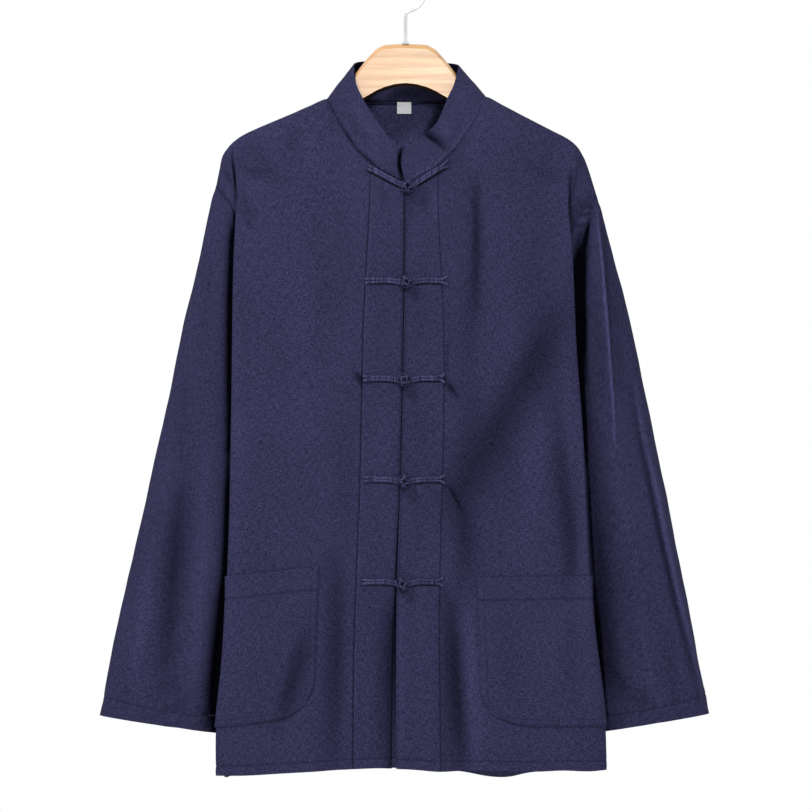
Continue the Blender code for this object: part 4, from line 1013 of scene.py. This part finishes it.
def surface_depth(x, z):
    """How far forward the cloth lies at x and z, or None where there is no cloth."""
    hits = [tree.ray_cast(Vector((x, -0.2, z)), Vector((0, 1, 0)))[0] for tree in trees.values()]
    return min((hit.y for hit in hits if hit is not None), default=None)


def laid(points, rise):
    """Points (x, z, extra rise) laid on the cloth, at the cord's own height over it."""
    out = []
    depth = None
    for x, z, extra in points:
        found = surface_depth(x, z)
        depth = depth if found is None else found
        out.append(Vector((x, depth - rise - extra, z)))
    return out


def curve_through(points):
    """A smooth line through points."""
    last = len(points) - 1
    array = np.array([tuple(p) for p in points])
    return [Vector(p) for p in smooth_line(array, np.linspace(0, last, last * CURVE_STEPS + 1))]


def cord(points, radius, sides=10, flat=1.0, closed=False):
    """Vertices and faces of a cord along points, with closed ends."""
    vertices = []
    count = len(points)
    up = Vector((0, -1, 0))
    for k, point in enumerate(points):
        before = points[k - 1] if k or closed else points[0]
        after = points[(k + 1) % count] if k < count - 1 or closed else points[-1]
        along = (after - before).normalized()
        up = (up - along * up.dot(along)).normalized()
        aside = along.cross(up)
        for s in range(sides):
            turn = 2 * math.pi * s / sides
            vertices.append(point + aside * (math.cos(turn) * radius) + up * (math.sin(turn) * radius * flat))
    return vertices, tube_faces(count, sides, closed=closed)


def cord_piece(name, cords, replaced=None):
    """Cords joined into one piece, facing out."""
    vertices, faces = [], []
    for points, sides in cords:
        faces += [tuple(len(vertices) + k for k in face) for face in sides]
        vertices += [tuple(v) for v in points]
    piece = new_piece(name, vertices, faces)
    work = bmesh.new()
    work.from_mesh(piece.data)
    bmesh.ops.recalc_face_normals(work, faces=work.faces[:])
    work.to_mesh(piece.data)
    work.free()
    seat(piece, replaced)
    length = sum(face.area for face in piece.data.polygons) / (2 * math.pi * CORD_RADIUS)
    print(name, "about", round(length, 3), "m of cord")
    return piece


def bar_places(outs, place, reach, slope, rise, aside, spread=(0.0, 1), lift=(0.0, 0.0)):
    """Places (x, z, lift) of a strand of a bar, from its end to its knot. It spreads at its end by an
    amount and power, and lifts by an amount once it is nearer the knot than a distance."""
    path = []
    for out in outs:
        up = slope * max(0.0, out - 3 * MM) + rise * min(1.0, (out - 8 * MM) / (10 * MM)) + aside
        up += spread[0] * max(0.0, (out - 38 * MM) / (7 * MM)) ** spread[1]
        path.append((place[0] + reach * out, place[1] + up, lift[0] * max(0.0, (lift[1] - out) / (5 * MM))))
    return path


print("the cord is", round(2 * CORD_RADIUS, 4), "m thick")

# %% [markdown]
# ## The ball knots
# A ball knot is one cord that goes three times round a ball and swings over and under itself four times
# on the way. A near-black core stands for the cord hidden inside it; its colour is painted shade in the
# gaps between the strands.

# %% Knots and fastenings
KNOT_RADIUS = 7.0 * MM
CORE_RADIUS = KNOT_RADIUS * 0.60
LOOP_RADIUS = 6.3 * MM
TURNS = 3
BIGHTS = 4
KNOT_STEPS = 132
# Each row: the knot's x and z, the slope of the knot's bar and of the loop's bar, and the rise of both.
FASTENINGS = (
    ((0.0025, -0.2420), (0.54, 0.64), 0),
    ((0.0010, -0.3466), (-0.02, -0.02), 2.0 * MM),
    ((-0.0014, -0.4544), (0, 0), 1.8 * MM),
    ((-0.0014, -0.5655), (0.012, 0.012), 1.5 * MM),
    ((-0.0036, -0.6777), (-0.01, -0.01), 1.8 * MM),
)


def ball_knot(centre, tilt):
    """A cord woven over and under itself round a ball."""
    points = []
    for k in range(KNOT_STEPS):
        t = 2 * math.pi * TURNS * k / KNOT_STEPS
        swing = math.sin(BIGHTS * t / TURNS) * 0.98
        lift = math.cos(2 * BIGHTS * t / TURNS + 0.4) * 0.10
        r = (KNOT_RADIUS - CORD_RADIUS * 0.95) * (1 + lift)
        spot = Vector((math.cos(t) * math.cos(swing), math.sin(swing), math.sin(t) * math.cos(swing))) * r
        x = spot.x * math.cos(tilt) - spot.z * math.sin(tilt)
        z = spot.x * math.sin(tilt) + spot.z * math.cos(tilt)
        points.append(centre + Vector((x, spot.y, z)))
    return cord(points, CORD_RADIUS * 0.98, sides=8, closed=True)


def knot_core(centre, rings=5, sides=10):
    """The ball inside a knot, coloured near black as painted shade between the strands."""
    ball = []
    for ring in range(1, rings + 1):
        lat = math.pi * ring / (rings + 1) - math.pi / 2
        for s in range(sides):
            turn = 2 * math.pi * s / sides
            ball.append(centre + Vector((math.cos(turn) * math.cos(lat), math.sin(lat),
                                         math.sin(turn) * math.cos(lat))) * CORE_RADIUS)
    return ball, tube_faces(rings, sides)


cord_pieces = []
ball_faces = {}
painted_shadow_pieces = []
for index, (place, slopes, rise) in enumerate(FASTENINGS):
    low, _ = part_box("frog_knot_%d" % (index + 1))
    centre = Vector((place[0], low[1] + KNOT_RADIUS * 0.95, place[1]))
    knot_cords, loop_cords, painted_shadow_cords = [], [], []
    # Near-black threads under each bar: sewing threads in form, coloured as a painted shadow under the bar.
    for reach, slope in zip((-1, 1), slopes):
        under = -HALF_BAR - CORD_RADIUS * 1.12 - (1.2 * MM if slope > 0.3 else 0.0)
        path = bar_places(THREAD_BAR, place, reach, slope, rise, under)
        painted_shadow_cords.append(cord(curve_through(laid(path, THREAD_RADIUS * 0.5)), THREAD_RADIUS, sides=6))
    for strand in (-1, 1):
        offset = strand * HALF_BAR
        path = bar_places(KNOT_BAR, place, -1, slopes[0], rise, offset, spread=(0.9 * MM * strand, 1),
                          lift=(0.8 * MM, 13 * MM))
        points = laid(path, CORD_REST)
        points.append(centre + Vector((-2.2 * MM, 3.2 * MM, offset * 0.8)))
        points.append(centre + Vector((0.5 * MM, 1.0 * MM, offset * 0.4)))
        knot_cords.append(cord(curve_through(points), CORD_RADIUS, flat=0.92))
        path = bar_places(LOOP_BAR, place, 1, slopes[1], rise, offset, spread=(3.4 * MM * strand, 1.6),
                          lift=(0.9 * MM, 15 * MM))
        points = laid(path, CORD_REST)
        for angle in (22, 50, 80, 115, 150, 180):
            turn = math.radians(angle) * strand
            points.append(Vector((place[0] + LOOP_RADIUS * math.cos(turn), centre.y + 3.6 * MM,
                                  place[1] + LOOP_RADIUS * math.sin(turn) * 0.95)))
        loop_cords.append(cord(curve_through(points), CORD_RADIUS * 0.95, flat=0.92))
    ball = ball_knot(centre, 0.35 + 0.5 * index)
    painted_shadow_cords.append(knot_core(centre))
    knot = cord_piece("knot_half_%d" % (index + 1), knot_cords + [ball], "frog_knot_%d" % (index + 1))
    loop = cord_piece("loop_half_%d" % (index + 1), loop_cords, "frog_loop_%d" % (index + 1))
    cord_pieces += [knot, loop]
    ball_faces[knot] = len(ball[1])
    painted_shadow_pieces.append(cord_piece("thread_with_painted_shadow_%d" % (index + 1), painted_shadow_cords))
print("fastenings:", len(painted_shadow_pieces))

# %% [markdown]
# ## Finishes
# Every surface gets its look from nodes. Effects that are shared, such as the weave, are node groups
# that give out only colours, masks, values and directions.


# %% Node helpers
def node(tree, kind, **values):
    """A new node; each value goes to the input of that name, or else to the setting."""
    made = tree.nodes.new(kind)
    for name, value in values.items():
        if name in made.inputs:
            made.inputs[name].default_value = value
        else:
            setattr(made, name, value)
    return made


def feed(tree, socket, value):
    """Sets an input to a number or a colour, or links another node's output to it."""
    if isinstance(value, (int, float, tuple)):
        socket.default_value = value
    else:
        tree.links.new(value, socket)


def stretched_noise(tree, place, scale, detail, roughness=0.5):
    """Noise on a place that is first stretched by scale; returns its value."""
    mapping = node(tree, "ShaderNodeMapping", Scale=scale)
    feed(tree, mapping.inputs["Vector"], place)
    made = node(tree, "ShaderNodeTexNoise", Scale=1.0, Detail=detail, Roughness=roughness)
    feed(tree, made.inputs["Vector"], mapping.outputs["Vector"])
    return made.outputs["Fac"]


def maths(tree, operation, first, second):
    made = node(tree, "ShaderNodeMath", operation=operation)
    feed(tree, made.inputs[0], first)
    feed(tree, made.inputs[1], second)
    return made.outputs[0]


def band(tree, value, low, high, out_low=0.0, out_high=1.0):
    """The value, with the band from low to high moved to out_low to out_high."""
    limits = {"From Min": low, "From Max": high, "To Min": out_low, "To Max": out_high}
    made = node(tree, "ShaderNodeMapRange", **limits)
    feed(tree, made.inputs["Value"], value)
    return made.outputs["Result"]


def blend_colours(tree, share, first, second):
    made = node(tree, "ShaderNodeMix", data_type="RGBA")
    for index, value in ((0, share), (6, first), (7, second)):
        feed(tree, made.inputs[index], value)
    return made.outputs[2]


def add_bump(tree, height, strength, distance, target):
    bump = node(tree, "ShaderNodeBump", Strength=strength, Distance=distance)
    feed(tree, bump.inputs["Height"], height)
    feed(tree, target, bump.outputs["Normal"])


def new_material(name, source="Object"):
    """A material, its node tree, its shader and the coordinates that its pattern lies on."""
    made = bpy.data.materials.new(name)
    made.use_nodes = True
    tree = made.node_tree
    return made, tree, tree.nodes["Principled BSDF"], node(tree, "ShaderNodeTexCoord").outputs[source]


def set_shader(tree, shader, values):
    for name, value in values.items():
        feed(tree, shader.inputs[name], value)


def dress(piece, material):
    piece.data.materials.clear()
    piece.data.materials.append(material)


# %% [markdown]
# ## Woven cotton
# Plain-woven cotton shows warp and weft threads, thicker slubs where the yarn was spun unevenly, light
# specks of undyed fibre and a slow wander of tone. All four are noises on the cloth's own map.

# %% Woven cotton
weave = bpy.data.node_groups.new("cotton weave", "ShaderNodeTree")
for direction, title, kind in (("INPUT", "Place", "Vector"), ("INPUT", "Deep", "Color"),
                               ("INPUT", "Light", "Color"), ("INPUT", "Tone", "Float"),
                               ("OUTPUT", "Color", "Color"), ("OUTPUT", "Roughness", "Float"),
                               ("OUTPUT", "Gloss", "Float"), ("OUTPUT", "Normal", "Vector")):
    weave.interface.new_socket(name=title, in_out=direction, socket_type="NodeSocket" + kind)
start = weave.nodes.new("NodeGroupInput")
end = weave.nodes.new("NodeGroupOutput")
place = start.outputs["Place"]
warp = stretched_noise(weave, place, (1500, 210, 1), 1.0)
weft = stretched_noise(weave, place, (210, 1500, 1), 1.0)
slub_down = stretched_noise(weave, place, (1000, 110, 1), 1.0)
slub_across = stretched_noise(weave, place, (110, 1000, 1), 1.0)
grain = stretched_noise(weave, place, (1550, 1550, 1), 1.0, 0.6)
speck = stretched_noise(weave, place, (520, 520, 1), 1.0)
wander = stretched_noise(weave, place, (13, 8, 1), 3.0)
threads = maths(weave, "ADD", warp, weft)
slubs = maths(weave, "ADD", slub_down, slub_across)
mixed = maths(weave, "ADD", maths(weave, "MULTIPLY", threads, 0.22), maths(weave, "MULTIPLY", slubs, 0.09))
mixed = maths(weave, "ADD", mixed, maths(weave, "MULTIPLY", grain, 0.40))
mixed = maths(weave, "ADD", maths(weave, "MULTIPLY", mixed, 2.5), -0.79)
drift = band(weave, wander, 0.3, 0.7, -0.07, 0.07)
tone = maths(weave, "ADD", band(weave, mixed, 0.40, 0.60, 0.0, 0.90), drift)
tone = maths(weave, "ADD", tone, band(weave, speck, 0.68, 0.78, 0.0, 1.4))
colour = blend_colours(weave, tone, start.outputs["Deep"], start.outputs["Light"])
# The Tone input is painted shade and light from the cloth's marks; it scales the colour and the specular
# level.
painted_shading = maths(weave, "ADD", maths(weave, "MULTIPLY", start.outputs["Tone"], 0.95), 1.0)
shaded = node(weave, "ShaderNodeVectorMath", operation="SCALE")
feed(weave, shaded.inputs[0], colour)
feed(weave, shaded.inputs["Scale"], painted_shading)
feed(weave, end.inputs["Color"], shaded.outputs[0])
feed(weave, end.inputs["Roughness"], band(weave, tone, 0.0, 1.0, 0.93, 0.80))
feed(weave, end.inputs["Gloss"], maths(weave, "MULTIPLY", painted_shading, 0.08))
add_bump(weave, maths(weave, "ADD", threads, slubs), 0.5, 0.0003, end.inputs["Normal"])


def cotton_material(name, deep, light, sheen, source="Object", gloss=None):
    """Woven cotton between two colours; gloss replaces the group's own roughness and specular level."""
    made, tree, shader, place = new_material(name, source)
    group = node(tree, "ShaderNodeGroup", node_tree=weave, Deep=deep, Light=light)
    feed(tree, group.inputs["Place"], place)
    if source == "UV":
        # The tone marks carry painted shade and light into the weave.
        marks = node(tree, "ShaderNodeAttribute", attribute_name="tone")
        feed(tree, group.inputs["Tone"], marks.outputs["Fac"])
    own = {"Roughness": group.outputs["Roughness"], "Specular IOR Level": group.outputs["Gloss"]}
    set_shader(tree, shader, gloss or own)
    set_shader(tree, shader, {"Base Color": group.outputs["Color"], "Normal": group.outputs["Normal"],
                              "Sheen Weight": sheen, "Sheen Roughness": 0.55,
                              "Sheen Tint": (0.55, 0.55, 0.95, 1)})
    return made


navy = cotton_material("navy_cotton", (0.0062, 0.0060, 0.0198, 1), (0.0256, 0.0250, 0.0640, 1), 0.0,
                       source="UV")
navy_cord = cotton_material("navy_cord_cotton", (0.0080, 0.0077, 0.0255, 1), (0.0380, 0.0375, 0.0900, 1), 0.06)
navy_thread = cotton_material("navy_thread", (0.0050, 0.0047, 0.0160, 1), (0.0120, 0.0115, 0.0360, 1), 0.04)
navy_knot = cotton_material("navy_knot_cotton", (0.0040, 0.0038, 0.0135, 1), (0.0240, 0.0235, 0.0600, 1), 0.0,
                            gloss={"Roughness": 0.42, "Specular IOR Level": 0.30,
                                   "Specular Tint": (0.55, 0.55, 1.0, 1)})
# Near black: a painted shadow under the bars and painted shade in the gaps of the knots.
painted_shadow_thread = cotton_material("painted_shadow_thread", (0.0007, 0.0007, 0.0028, 1), (0.0030, 0.0028, 0.0095, 1), 0.0)

for part, stitches in sewing.items():
    dress(sheets[part][0], navy)
    dress(stitches, navy_thread)
for piece in cord_pieces:
    dress(piece, navy_cord)
for piece, count in ball_faces.items():
    piece.data.materials.append(navy_knot)
    for polygon in piece.data.polygons[-count:]:
        polygon.material_index = 1
for piece in painted_shadow_pieces:
    dress(piece, painted_shadow_thread)
print("cotton finishes made")

# %% [markdown]
# ## Wood, metal and tape
# The hanger is pale varnished wood with growth lines that run along the board. The hook is bright
# plated wire, and the label is plain white tape.

# %% Wood, hook and label
wood, tree, shader, place = new_material("varnished_wood")
grain = stretched_noise(tree, place, (9, 60, 130), 4.0, 0.6)
pores = stretched_noise(tree, place, (60, 500, 900), 2.0)
warm = stretched_noise(tree, place, (6, 10, 12), 2.0)
colour = blend_colours(tree, band(tree, grain, 0.35, 0.65), (0.30, 0.158, 0.056, 1), (0.42, 0.260, 0.110, 1))
colour = blend_colours(tree, band(tree, warm, 0.35, 0.65, 0.0, 0.5), colour, (0.40, 0.205, 0.100, 1))
colour = blend_colours(tree, band(tree, pores, 0.60, 0.72, 0.0, 0.35), colour, (0.30, 0.16, 0.08, 1))
# Faces turned downward are painted near black, a painted shade under the board, with less coat and specular.
direction = node(tree, "ShaderNodeSeparateXYZ")
feed(tree, direction.inputs[0], node(tree, "ShaderNodeNewGeometry").outputs["Normal"])
painted_underside_shade = band(tree, direction.outputs["Z"], 0.02, -0.12)
set_shader(tree, shader, {
    "Base Color": blend_colours(tree, painted_underside_shade, colour, (0.012, 0.007, 0.005, 1)),
    "Roughness": band(tree, grain, 0.3, 0.7, 0.42, 0.30),
    "Coat Weight": maths(tree, "MULTIPLY", maths(tree, "SUBTRACT", 1.0, painted_underside_shade), 0.25),
    "Coat Roughness": 0.25,
    "Specular IOR Level": band(tree, painted_underside_shade, 0.0, 1.0, 0.5, 0.05)})
add_bump(tree, pores, 0.20, 0.0003, shader.inputs["Normal"])

chrome, tree, shader, place = new_material("bright_plated_wire")
scratch = band(tree, stretched_noise(tree, place, (900, 900, 120), 3.0), 0.3, 0.7)
set_shader(tree, shader, {
    "Base Color": blend_colours(tree, scratch, (0.60, 0.61, 0.63, 1), (0.78, 0.79, 0.81, 1)),
    "Roughness": band(tree, scratch, 0.0, 1.0, 0.10, 0.24),
    "Metallic": 1.0})

tape, tree, shader, place = new_material("white_tape")
ribs = stretched_noise(tree, place, (300, 300, 2600), 2.0)
ribbed = band(tree, ribs, 0.3, 0.7)
set_shader(tree, shader, {
    "Base Color": blend_colours(tree, ribbed, (0.50, 0.50, 0.53, 1), (0.68, 0.68, 0.70, 1)),
    "Roughness": band(tree, ribbed, 0.0, 1.0, 0.75, 0.60)})
add_bump(tree, ribs, 0.4, 0.0002, shader.inputs["Normal"])

for name, material in (("hanger_wood", wood), ("hook_ferrule", chrome), ("hanger_hook", chrome),
                       ("size_label", tape)):
    for material_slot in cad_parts[name].material_slots:
        material_slot.material = material
print("wood, hook and label finished")

# %% [markdown]
# ## The stage
# A plain pale floor, a white surround and soft lamps from the front and above, as in a small photo
# studio. The camera looks level at the middle of the jacket from 3 m away, as the photograph does.

# %% Floor, light and camera
FLOOR_HEIGHT = -1.06
SENSOR = 36
bpy.ops.object.select_all(action="DESELECT")
bpy.ops.mesh.primitive_plane_add(size=1, location=(0, 0, 0))
floor = bpy.context.object
floor.name = "floor"
for vertex in floor.data.vertices:
    vertex.co = Vector((vertex.co.x * 2.4, vertex.co.y * 1.6 - 0.12, FLOOR_HEIGHT))
pale, tree, shader, place = new_material("pale_floor")
dust = stretched_noise(tree, place, (3, 3, 3), 3.0)
set_shader(tree, shader, {
    "Base Color": blend_colours(tree, dust, (0.80, 0.80, 0.80, 1), (0.86, 0.86, 0.86, 1)),
    "Roughness": 0.8})
dress(floor, pale)

world = bpy.data.worlds.new("white_surround")
bpy.context.scene.world = world
world.use_nodes = True
world.node_tree.nodes["Background"].inputs["Color"].default_value = (1, 1, 1, 1)
world.node_tree.nodes["Background"].inputs["Strength"].default_value = 1.0
bpy.context.scene.view_settings.view_transform = "Standard"


def lamp(name, place, aim, size, power):
    light = bpy.data.lights.new(name, "AREA")
    light.shape = "RECTANGLE"
    light.size = size
    light.size_y = size
    light.energy = power
    made = bpy.data.objects.new(name, light)
    made.location = place
    made.rotation_mode = "QUATERNION"
    made.rotation_quaternion = (Vector(aim) - Vector(place)).to_track_quat("-Z", "Y")
    bpy.context.scene.collection.objects.link(made)


lamp("key_lamp", (-1.1, -1.7, 1.4), (0, 0, -0.30), 0.5, 62)
lamp("front_lamp", (0.2, -3.2, 0.6), (0, 0, -0.10), 0.7, 60)

camera = bpy.data.objects.new("camera", bpy.data.cameras.new("camera"))
bpy.context.scene.collection.objects.link(camera)
camera.location = (0.0005, FRONT_PLANE - CAMERA_DISTANCE, MIDDLE_HEIGHT)
camera.rotation_euler = (math.pi / 2, 0, 0)
camera.data.sensor_width = SENSOR
camera.data.lens = SENSOR * CAMERA_DISTANCE / (PHOTO_SIZE * PIXEL)
camera.data.clip_start = 0.1
camera.data.clip_end = 50
bpy.context.scene.camera = camera
print("camera lens", round(camera.data.lens, 1), "mm")
